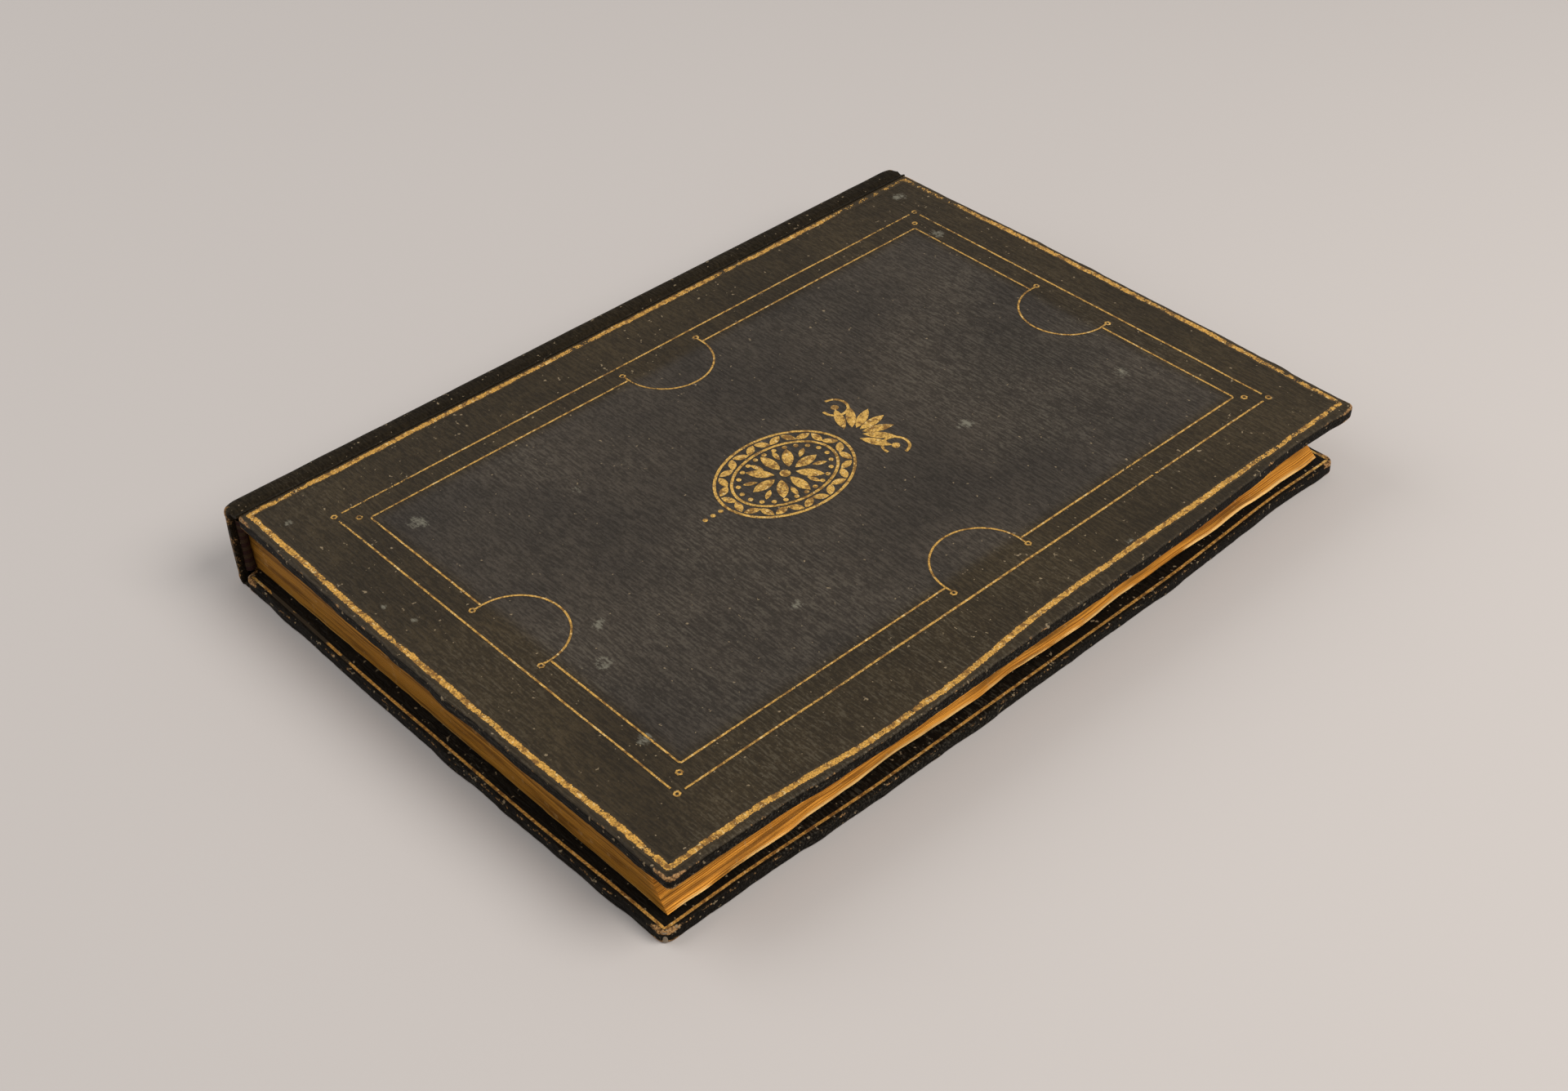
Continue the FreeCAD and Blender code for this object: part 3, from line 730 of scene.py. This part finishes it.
def close_tree(nodes, geometry, finish, second=None, chosen=None):
    """Ends a tree with plain geometry in one finish, or in a second one where an attribute chooses it."""
    real = nodes.add("GeometryNodeRealizeInstances", {"Geometry": geometry.outputs[0]})
    made = nodes.add("GeometryNodeSetMaterial", {"Geometry": real.outputs[0], "Material": finish})
    if second:
        where = nodes.add("GeometryNodeInputNamedAttribute", {"Name": chosen}, data_type="BOOLEAN").outputs[0]
        made = nodes.add("GeometryNodeSetMaterial",
                         {"Geometry": made.outputs[0], "Selection": where, "Material": second})
    nodes.add("NodeGroupOutput", {"Geometry": made.outputs[0]})


def ribbon_tree():
    """A flat ribbon along every path, with how far across it each point is."""
    n, given, keys = open_tree("tooled_line", {
        "Path": "Geometry", "Line width": "Float", "Point spacing": "Float", "Finish": "Material"})
    path = n.add("GeometryNodeResampleCurve", {"Curve": given["Path"], "Length": given["Point spacing"]},
                 mode="LENGTH")
    upright = n.add("GeometryNodeSetCurveNormal", {"Curve": path.outputs[0]}, mode="Z_UP")
    half = n.times(given["Line width"], 0.5)
    left = n.add("ShaderNodeCombineXYZ", {0: n.times(half, -1.0)})
    right = n.add("ShaderNodeCombineXYZ", {0: half})
    section = n.add("GeometryNodeCurvePrimitiveLine", {"Start": left.outputs[0], "End": right.outputs[0]})
    section = n.add("GeometryNodeResampleCurve", {"Curve": section.outputs[0], "Count": 5}, mode="COUNT")
    share = n.add("GeometryNodeSplineParameter").outputs["Factor"]
    marked = n.add("GeometryNodeStoreNamedAttribute",
                   {"Geometry": section.outputs[0], "Name": "across", "Value": share},
                   data_type="FLOAT", domain="POINT")
    ribbon = n.add("GeometryNodeCurveToMesh", {"Curve": upright.outputs[0], "Profile Curve": marked.outputs[0]})
    close_tree(n, ribbon, given["Finish"])
    return n.tree, keys


def spray_tree():
    """Copies of a shape along a path. Each second one leans the other way."""
    n, given, keys = open_tree("leaves_along_a_path", {
        "Path": "Geometry", "Shape": "Object", "Count": "Int", "Turn": "Float", "Lean": "Float",
        "Finish": "Material"})
    path = n.add("GeometryNodeResampleCurve", {"Curve": given["Path"], "Count": given["Count"]}, mode="COUNT")
    along = n.add("GeometryNodeInputTangent").outputs[0]
    headed = n.add("GeometryNodeStoreNamedAttribute", {"Geometry": path.outputs[0], "Name": "heading", "Value": along},
                   data_type="FLOAT_VECTOR", domain="POINT")
    points = n.add("GeometryNodeCurveToPoints", {"Curve": headed.outputs[0]}, mode="EVALUATED")
    shape = n.add("GeometryNodeObjectInfo", {"Object": given["Shape"]})
    heading = n.add("GeometryNodeInputNamedAttribute", {"Name": "heading"}, data_type="FLOAT_VECTOR")
    parts = n.add("ShaderNodeSeparateXYZ", {0: heading.outputs[0]}).outputs
    parity = n.maths("MODULO", n.add("GeometryNodeInputIndex").outputs[0], 2.0)
    lean = n.times(n.minus(n.times(parity, 2.0), 1.0), given["Lean"])
    total = n.plus(n.maths("ARCTAN2", parts[1], parts[0]), given["Turn"], lean)
    rotation = n.add("ShaderNodeCombineXYZ", {2: total}).outputs[0]
    copies = n.add("GeometryNodeInstanceOnPoints",
                   {"Points": points.outputs[0], "Instance": shape.outputs["Geometry"], "Rotation": rotation})
    close_tree(n, copies, given["Finish"])
    return n.tree, keys


def winding_tree():
    """Rings of thread side by side round a path, three in each colour by turns."""
    n, given, keys = open_tree("silk_winding", {
        "Core path": "Geometry", "Core radius": "Float", "Thread radius": "Float", "Turns": "Int",
        "First colour": "Material", "Second colour": "Material"})
    path = n.add("GeometryNodeResampleCurve", {"Curve": given["Core path"], "Count": given["Turns"]}, mode="COUNT")
    points = n.add("GeometryNodeCurveToPoints", {"Curve": path.outputs[0]}, mode="EVALUATED")
    loop = n.add("GeometryNodeCurvePrimitiveCircle", {"Resolution": 20, "Radius": given["Core radius"]})
    thread = n.add("GeometryNodeCurvePrimitiveCircle", {"Resolution": 6, "Radius": given["Thread radius"]})
    ring = n.add("GeometryNodeCurveToMesh", {"Curve": loop.outputs[0], "Profile Curve": thread.outputs[0]})
    copies = n.add("GeometryNodeInstanceOnPoints", {
        "Points": points.outputs["Points"], "Instance": ring.outputs[0], "Rotation": points.outputs["Rotation"]})
    sixth = n.maths("MODULO", n.add("GeometryNodeInputIndex").outputs[0], 6.0)
    other = n.add("FunctionNodeCompare", {"A": sixth, "B": 2.5}, data_type="FLOAT", operation="GREATER_THAN")
    marked = n.add("GeometryNodeStoreNamedAttribute",
                   {"Geometry": copies.outputs[0], "Name": "second", "Value": other.outputs[0]},
                   data_type="BOOLEAN", domain="INSTANCE")
    close_tree(n, marked, given["First colour"], given["Second colour"], "second")
    return n.tree, keys


RIBBON = ribbon_tree()
SPRAY = spray_tree()
WINDING = winding_tree()


def draw(name, paths, maker, values):
    """The plain mesh that a node tree makes along straight runs. A path is its points and whether it closes."""
    curve = bpy.data.curves.new(name, "CURVE")
    curve.dimensions = "3D"
    for path, closed in paths:
        spline = curve.splines.new("POLY")
        spline.points.add(len(path) - 1)
        for point, place in zip(spline.points, path):
            point.co = (*place, 0.0, 1.0) if len(place) == 2 else (*place, 1.0)
        spline.use_cyclic_u = closed
    source = show(name + "_path", curve)
    tree, keys = maker
    modifier = source.modifiers.new("make", "NODES")
    modifier.node_group = tree
    for label, value in values.items():
        modifier[keys[label]] = value
    source.update_tag()
    bpy.context.view_layer.update()
    mesh = plain_mesh(source)
    mesh.name = name
    bpy.data.objects.remove(source)
    return show(name, mesh)


# Tooling: each gold line is a ribbon along a path on the cover.


def lay_on_cover(made, place, depth, fade_at=None):
    """Moves a flat mesh in cover coordinates onto its cover, and stores how far the gold has faded."""
    fades = []
    for vertex in made.data.vertices:
        u, v, lift = vertex.co
        fades.append(fade_at(u, v) if fade_at else 0.0)
        vertex.co = place(u, v, depth - lift)
    store(made.data, "fade", fades)
    made.data.update()


def border_fade(u, v):
    """The border is rubbed most at the head by the spine, in patches except along the fore-edge, and a little
    at the head's outer corner."""
    near_head = 1 - ease(math.hypot(u - 0.006, v - 0.134), 0.012, 0.050)
    patches = ease(ripple(u, v, 0, 22 * MM, 12.0), 0.05, 0.5)
    thin = ease(u, 0.120, 0.170) * ease(v, 0.070, 0.100)
    return max(0.55 * near_head, 0.36 * patches * (1 - ease(u, 0.185, 0.188)), 0.30 * thin)


def frame_fade(u, v):
    """The frames are fainter by the spine's tail and head corners, and in long stretches."""
    near_tail = 1 - ease(math.hypot(u - 0.014, v + 0.118), 0.012, 0.045)
    near_head = 1 - ease(math.hypot(u - 0.024, v - 0.122), 0.012, 0.050)
    stretches = ease(ripple(u, v, 0, 45 * MM, 3.0), 0.0, 0.45)
    return max(0.45 * near_tail, 0.45 * near_head, 0.40 * stretches)


def turn_in_fade(u, v):
    """The lines on the turn-ins are broken by the spine."""
    broken = ease(ripple(u, v, 0, 9 * MM, 7.0), -0.1, 0.25)
    return 1.4 * broken * (1 - ease(u, 0.030, 0.085)) + 0.15 * broken


def arc_points(u, v, radius, start, sweep, steps=24):
    turns = [math.radians(start + sweep * n / steps) for n in range(steps + 1)]
    return [(u + radius * math.cos(turn), v + radius * math.sin(turn)) for turn in turns]


def ring_path(u, v):
    return arc_points(u, v, RING, 0, 345, 15), True


def border_path():
    near, far = BORDER_INSET, COVER_WIDTH - BORDER_FORE_INSET
    low, high = -HALF_HEIGHT + BORDER_TAIL_INSET, HALF_HEIGHT - BORDER_INSET
    return [(near, low), (far, low), (far, high), (near, high)], True


def lean_border(path):
    """The border's fore-edge side nears the edge towards the tail, and keeps clear of it past the middle."""
    points = []
    for u, v in path[0]:
        reach = BORDER_LEAN * ease(v, -0.115, -0.060) * (1 - ease(v, -0.045, 0.010))
        points.append((u + (reach - edge_bow(COVER_WIDTH, v)[0]) * ease(u, 0.170, 0.190), v))
    return points, path[1]


def outer_frame_lines():
    near, far = OUTER_FRAME, COVER_WIDTH - OUTER_FRAME
    low, high = -HALF_HEIGHT + OUTER_FRAME, HALF_HEIGHT - OUTER_FRAME_HEAD
    gap = CORNER_GAP
    lines = [([(near + gap, v), (far - gap, v)], False) for v in (low, high)]
    lines += [([(u, low + gap), (u, high - gap)], False) for u in (near, far)]
    return lines, [ring_path(u, v) for u in (near, far) for v in (low, high)]


def inner_frame_paths():
    """One line from notch to notch round each corner, the notches, and the rings beside them."""
    near = OUTER_FRAME + FRAME_SPACING
    far = COVER_WIDTH - near
    low = -HALF_HEIGHT + near
    high = HALF_HEIGHT - OUTER_FRAME_HEAD - FRAME_SPACING
    mid_u, mid_v = (near + far) / 2, (low + high) / 2
    paths = []
    for u, side_u in ((near, -1), (far, 1)):
        for v, side_v in ((low, -1), (high, 1)):
            paths.append(([(mid_u + side_u * NOTCH, v), (u, v), (u, mid_v + side_v * NOTCH)], False))
            paths.append(ring_path(u + side_u * CORNER_RING_OFFSET, v + side_v * CORNER_RING_OFFSET))
            paths.append(ring_path(mid_u + side_u * NOTCH, v + side_v * NOTCH_RING_OFFSET))
            paths.append(ring_path(u + side_u * NOTCH_RING_OFFSET, mid_v + side_v * NOTCH))
    for u, v, start in ((mid_u, low, 0), (mid_u, high, 180), (near, mid_v, -90), (far, mid_v, 90)):
        paths.append((arc_points(u, v, NOTCH, start - NOTCH_PAST, 180 + 2 * NOTCH_PAST, 30), False))
    return paths


def turn_in_paths():
    paths = []
    for inset in (TURN_IN_INSET, TURN_IN - TURN_IN_INSET):
        far = COVER_WIDTH - inset
        top = HALF_HEIGHT - inset
        paths.append(([(TURN_IN_INSET, -top), (far, -top), (far, top), (TURN_IN_INSET, top)], False))
    return paths


def wandering(paths, amount, size, seed):
    """The same paths in short runs that wander a little, as hand tooling does."""
    moved = []
    for path, closed in paths:
        ends = path + path[:1] if closed else path
        points = []
        for (u0, v0), (u1, v1) in zip(ends, ends[1:]):
            steps = max(1, round(math.hypot(u1 - u0, v1 - v0) / (3 * MM)))
            points += [(u0 + (u1 - u0) * n / steps, v0 + (v1 - v0) * n / steps) for n in range(steps)]
        if not closed:
            points.append(ends[-1])
        moved.append(([tuple(c + amount * ripple(*point, n, size, seed) for n, c in enumerate(point))
                       for point in points], closed))
    return moved


def gold_lines(side, kind, tooling, paths, width, finish, depth, fade_at):
    body, node = f"{side}_cover", f"{side}_{tooling}"
    made = draw(f"{side}_{kind}", paths, RIBBON, {"Line width": width, "Point spacing": MM, "Finish": finish})
    lay_on_cover(made, on_front if side == "front" else on_back, depth, fade_at)
    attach(made, body)
    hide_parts(node)


# The centre stamp: an oval wreath round a rosette, with a palmette above it.


def stamped_leaf(length, width):
    """A pointed leaf that lies along X, with a raised midrib."""
    points = [(-length / 2, 0, 0), (length / 2, 0, 0)]
    for n in range(1, LEAF_SIDES):
        x = -length / 2 + length * n / LEAF_SIDES
        half = width / 2 * math.sin(math.pi * n / LEAF_SIDES) ** 0.8
        points += [(x, -half, 0), (x, 0, 0.10 * MM), (x, half, 0)]
    last = len(points) - 3
    faces = []
    for a in range(2, last, 3):
        faces += [(a, a + 3, a + 4, a + 1), (a + 1, a + 4, a + 5, a + 2)]
    faces += [(0, 2, 3), (0, 3, 4), (1, last + 1, last), (1, last + 2, last + 1)]
    across = [0.5, 0.5] + [0.1, 0.5, 0.9] * (LEAF_SIDES - 1)
    return build_mesh("leaf_shape", points, faces, [stamp_gold], {"across": across})


def bead_shape(radius):
    """A low round bead."""
    rise = 0.12 * MM
    points, faces, across = [(0, 0, rise)], [], [0.5]
    for ring in range(1, BEAD_RINGS + 1):
        share = ring / BEAD_RINGS
        for n in range(BEAD_SIDES):
            turn = 2 * math.pi * n / BEAD_SIDES
            points.append((radius * share * math.cos(turn), radius * share * math.sin(turn), rise * (1 - share**2)))
            across.append(0.5 + 0.4 * share)
    for n in range(BEAD_SIDES):
        other = (n + 1) % BEAD_SIDES
        faces.append((0, 1 + n, 1 + other))
        for ring in range(BEAD_RINGS - 1):
            a, b = 1 + ring * BEAD_SIDES + n, 1 + ring * BEAD_SIDES + other
            faces.append((a, a + BEAD_SIDES, b + BEAD_SIDES, b))
    return build_mesh("bead_shape", points, faces, [stamp_gold], {"across": across})


def oval_path(half_u, half_v, start=0.0, steps=240):
    """An oval that starts at a share of its own length."""
    turns = [2 * math.pi * n / steps for n in range(steps)]
    points = [(half_u * math.cos(turn), half_v * math.sin(turn)) for turn in turns]
    lengths = [math.dist(points[n - 1], points[n]) for n in range(1, steps)]
    first, passed = 0, 0.0
    while passed < start * (sum(lengths) + math.dist(points[-1], points[0])):
        passed += lengths[first]
        first += 1
    return points[first:] + points[:first]


def spray(name, path, shape, count, turn=0.0, lean=0.0, closed=False):
    values = {"Shape": shape, "Count": count, "Turn": math.radians(turn), "Lean": math.radians(lean),
              "Finish": stamp_gold}
    return draw(name, [(path, closed)], SPRAY, values)


def stamp_lines(name, paths, spacing):
    return draw(name, paths, RIBBON, {"Line width": STAMP_LINE, "Point spacing": spacing, "Finish": stamp_gold})


def join_meshes(name, parts):
    """One object from several, which are deleted."""
    with bpy.context.temp_override(active_object=parts[0], selected_editable_objects=parts, object=parts[0]):
        bpy.ops.object.join()
    parts[0].name = name
    parts[0].data.name = name
    return parts[0]


def make_stamp():
    inner = tuple(size - WREATH_DEPTH for size in WREATH)
    middle = tuple((a + b) / 2 for a, b in zip(WREATH, inner))
    base = PALMETTE_BASE - STAMP_Y
    foot = -WREATH[1]
    eyes = [(side * SCROLL_OUT, base + SCROLL_RISE) for side in (-1, 1)]
    scrolls = [(arc_points(*eyes[0], 4.2 * MM, 180, -280), False), (arc_points(*eyes[1], 4.2 * MM, 0, 280), False)]
    small_leaf = stamped_leaf(5.2 * MM, 2.5 * MM)
    petal = stamped_leaf(8.8 * MM, 3.6 * MM)
    sepal = stamped_leaf(4.6 * MM, 1.7 * MM)
    fan = stamped_leaf(10.4 * MM, 3.2 * MM)
    seed = bead_shape(0.8 * MM)
    hub = bead_shape(1.7 * MM)
    eye = bead_shape(1.3 * MM)
    made = join_meshes("front_stamp", [
        stamp_lines("bands", [(oval_path(*WREATH), True), (oval_path(*inner), True)], 0.8 * MM),
        spray("wreath_leaves", oval_path(*middle), small_leaf, 26, lean=34, closed=True),
        spray("petals", oval_path(6.6 * MM, 8.6 * MM), petal, 8, turn=90, closed=True),
        spray("sepals", oval_path(8.5 * MM, 12.0 * MM, start=1 / 16), sepal, 8, turn=90, closed=True),
        spray("seeds", oval_path(11.0 * MM, 16.2 * MM, start=1 / 48), seed, 24, closed=True),
        spray("hub", [(0, 0), (0.01 * MM, 0)], hub, 1),
        spray("palmette", arc_points(0, base, 8.2 * MM, 165, -150), fan, 7, turn=90),
        stamp_lines("scrolls", scrolls, 0.6 * MM),
        spray("scroll_eyes", eyes, eye, 2),
        spray("drops", [(0, foot - 2.4 * MM), (0, foot - 8.4 * MM)], seed, 3),
    ])
    for shape in (small_leaf, petal, sepal, fan, seed, hub, eye):
        bpy.data.objects.remove(shape)
    for vertex in made.data.vertices:
        vertex.co.x += COVER_WIDTH / 2
        vertex.co.y += STAMP_Y
    lay_on_cover(made, on_front, -GOLD_LIFT)
    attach(made, "front_cover")
    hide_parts("front_gilt_stamp")


# The leaves


def leaf_place(s, t, level):
    """A point of the leaves: s from the back to the fore-edge, t from the tail to the head, level from the
    lowest leaf to the highest."""
    shoulder_x = fly_low.x
    tip_x = shoulder_x - 0.7 * MM
    arch = 1 - (2 * level - 1) ** 2
    back_x = tip_x - (tip_x - leaves_low.x) * arch
    y = t * leaves_high.y
    wave = ripple(0, y, 0, 38 * MM, 4.0) + 0.6 * ripple(0, y, 0, 15 * MM, 9.0)
    low = (1 - level) ** 3
    flare = (1.0 * MM * wave + 0.8 * MM) * low
    depth = FORE_HOLLOW + FORE_HOLLOW_MORE * ease(y, 0.020, 0.130)
    hollow = depth * (1 - (2 * level**1.35 - 1) ** 2) ** 0.8
    uneven = 0.16 * MM * ripple(0, y, level * 40 * MM, 6 * MM, 2.0)
    set_back = HEAD_SET_BACK * ease(y, 0.060, 0.135) * (1 - low)
    x = back_x + (fly_high.x - hollow + flare + uneven - set_back - back_x) * s
    bottom = fly_high.z
    top = FRONT_HINGE.z - (x - FRONT_HINGE.x) * math.tan(SLOPE) - COVER_THICKNESS - 0.55 * MM
    if x < shoulder_x:
        share = clamp((shoulder_x - x) / (shoulder_x - tip_x))
        bottom += (leaves_low.z - bottom) * share
        top += (leaves_high.z - top) * share
    end_wave = 0.22 * MM * ripple(x, 0, level * 30 * MM, 5 * MM, 6.0)
    end_wave += 0.25 * MM * ripple(x, level * 0.01, 0, 40 * MM, 1.0)
    y += math.copysign(ease(abs(t), 0.9, 1.0), t) * (end_wave + LEAVES_PAST)
    return Vector((x, y, bottom + (top - bottom) * level))


def make_leaves():
    """All the sewn leaves as one solid, made on the six sides of a lattice."""
    s_steps = sorted({n / 60 for n in range(61)} | {0.003, 0.006, 0.010, 0.985, 0.993})
    t_steps = even_steps(-1, 1, 1 / 100)
    l_steps = even_steps(0, 1, 1 / 26)
    seen, points, level, bright = {}, [], [], []

    def point(i, j, k):
        if (i, j, k) not in seen:
            seen[i, j, k] = len(points)
            points.append(leaf_place(s_steps[i], t_steps[j], l_steps[k]))
            level.append(l_steps[k])
            # Painted light: 'bright' is 1 on the lit fore-edge face and low on the shaded head, tail and back.
            bright.append(0.25 + 0.75 * ease(s_steps[i], 0.985, 1.0))
        return seen[i, j, k]

    last = (len(s_steps) - 1, len(t_steps) - 1, len(l_steps) - 1)
    faces = []
    for fixed, a, b in ((2, 0, 1), (1, 0, 2), (0, 1, 2)):
        for end in (0, last[fixed]):
            outward = bool(end) != (fixed == 1)
            for i in range(last[a]):
                for j in range(last[b]):
                    face = []
                    for over_a, over_b in ((0, 0), (1, 0), (1, 1), (0, 1)):
                        spot = {fixed: end, a: i + over_a, b: j + over_b}
                        face.append(point(spot[0], spot[1], spot[2]))
                    faces.append(face if outward else face[::-1])
    made = build_mesh("leaves", points, faces, [leaf_edges], {"level": level, "bright": bright})
    made.data.set_sharp_from_angle(angle=math.radians(40))
    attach(made, "book_block")
    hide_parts("text_block")


def make_endband(node):
    """Silk wound round a core, in two colours by turns."""
    low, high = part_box(node)
    y = (low.y + high.y) / 2
    radius = (high.y - low.y) / 2 - SILK
    middle_z = (low.z + high.z) / 2
    half_z = (high.z - low.z) / 2 - 0.3 * MM
    bow = (high.x - low.x) - 2 * (radius + SILK)
    centre_x = low.x + radius + SILK
    path = [(centre_x + bow * (n / 12) ** 2, y, middle_z + half_z * n / 12) for n in range(-12, 13)]
    values = {"Core radius": radius, "Thread radius": SILK, "Turns": SILK_TURNS, "First colour": silk_red,
              "Second colour": silk_gold}
    made = draw(node + "_silk", [(path, False)], WINDING, values)
    made.data.shade_smooth()
    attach(made, "book_block")
    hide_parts(node)


# Assembly


front_hide = make_hide("front_hide", on_front, FRONT_CORNER, 1.0, FRONT_HINGE.x, FRONT_EDGE_X,
                       lambda depth: FRONT_HINGE.z - depth, True)
back_hide = make_hide("back_hide", on_back, BACK_CORNER, 21.0, BACK_HINGE.x, BACK_EDGE_X, lambda depth: depth, False)
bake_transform(front_hide)
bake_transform(back_hide)
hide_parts("front_leather", "spine_leather")
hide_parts("back_leather")
make_spine_card()

border = [lean_border(path) for path in wandering([border_path()], 0.35 * MM, 9 * MM, 2.0)]
lines, rings = outer_frame_lines()
for side, depth, seed, inner in (("front", -GOLD_LIFT, 5.0, inner_frame_paths()), ("back", 0.0, 6.0, [])):
    frames = wandering(lines, 0.12 * MM, 25 * MM, seed) + rings + inner
    gold_lines(side, "border", "gilt_tooling", border, BORDER_WIDTH, border_gold, depth, border_fade)
    gold_lines(side, "frames", "gilt_tooling", frames, LINE, line_gold, depth, frame_fade)
for side in ("front", "back"):
    gold_lines(side, "turn_in_lines", "turn_in_gilt", turn_in_paths(), TURN_IN_LINE, line_gold, GOLD_INSIDE,
               turn_in_fade)
make_stamp()
make_leaves()
make_endband("tail_endband")
make_endband("head_endband")

finishes = {
    "front_pastedown": endpaper, "back_pastedown": endpaper, "front_flyleaf": flyleaf, "back_flyleaf": flyleaf,
    "front_board": pasteboard, "back_board": pasteboard, "spine_lining": lining,
}
finishes.update({name: cord for name in frame["nodes"] if name.startswith("sewing_cord")})
for name, finish in finishes.items():
    frame["nodes"][name].material_slots[0].material = finish


# Floor, light and camera


def make_floor():
    size = 6.0
    points = [(-size, -size, 0), (size, -size, 0), (size, size, 0), (-size, size, 0)]
    floor = build_mesh("floor", points, [(0, 1, 2, 3)], [make_floor_finish()])


def area_light(name, place, size, watts, colour=(1, 1, 1)):
    """A round soft light that faces the book."""
    light = bpy.data.lights.new(name, "AREA")
    light.shape = "DISK"
    light.size = size
    light.energy = watts
    light.color = colour
    made = show(name, light)
    made.location = place
    made.rotation_euler = (-Vector(place)).to_track_quat("-Z", "Y").to_euler()


def make_world():
    world = bpy.data.worlds.new("world")
    world.use_nodes = True
    shade = world.node_tree.nodes["Background"].inputs
    shade["Color"].default_value = (1.0, 0.98, 0.96, 1.0)
    shade["Strength"].default_value = 0.45
    bpy.context.scene.world = world


def make_camera():
    back = Vector((
        math.sin(VIEW_AZIMUTH) * math.cos(VIEW_ELEVATION),
        -math.cos(VIEW_AZIMUTH) * math.cos(VIEW_ELEVATION),
        math.sin(VIEW_ELEVATION),
    ))
    level = Vector((math.cos(VIEW_AZIMUTH), math.sin(VIEW_AZIMUTH), 0))
    upright = back.cross(level)
    right = level * math.cos(VIEW_ROLL) + upright * math.sin(VIEW_ROLL)
    up = upright * math.cos(VIEW_ROLL) - level * math.sin(VIEW_ROLL)
    data = bpy.data.cameras.new("camera")
    data.lens = VIEW_LENS
    data.sensor_width = 36.0
    data.sensor_fit = "HORIZONTAL"
    camera = show("camera", data)
    camera.matrix_world = Matrix.Translation(VIEW_PLACE) @ Matrix((right, up, back)).transposed().to_4x4()
    bpy.context.scene.camera = camera


make_floor()
area_light("key", (0.75, 0.35, 1.0), 0.9, 13.0, (1.0, 0.97, 0.93))
area_light("fill", (-0.9, -0.6, 0.9), 1.2, 7.0)
make_world()
bpy.context.scene.view_settings.view_transform = "Standard"
make_camera()
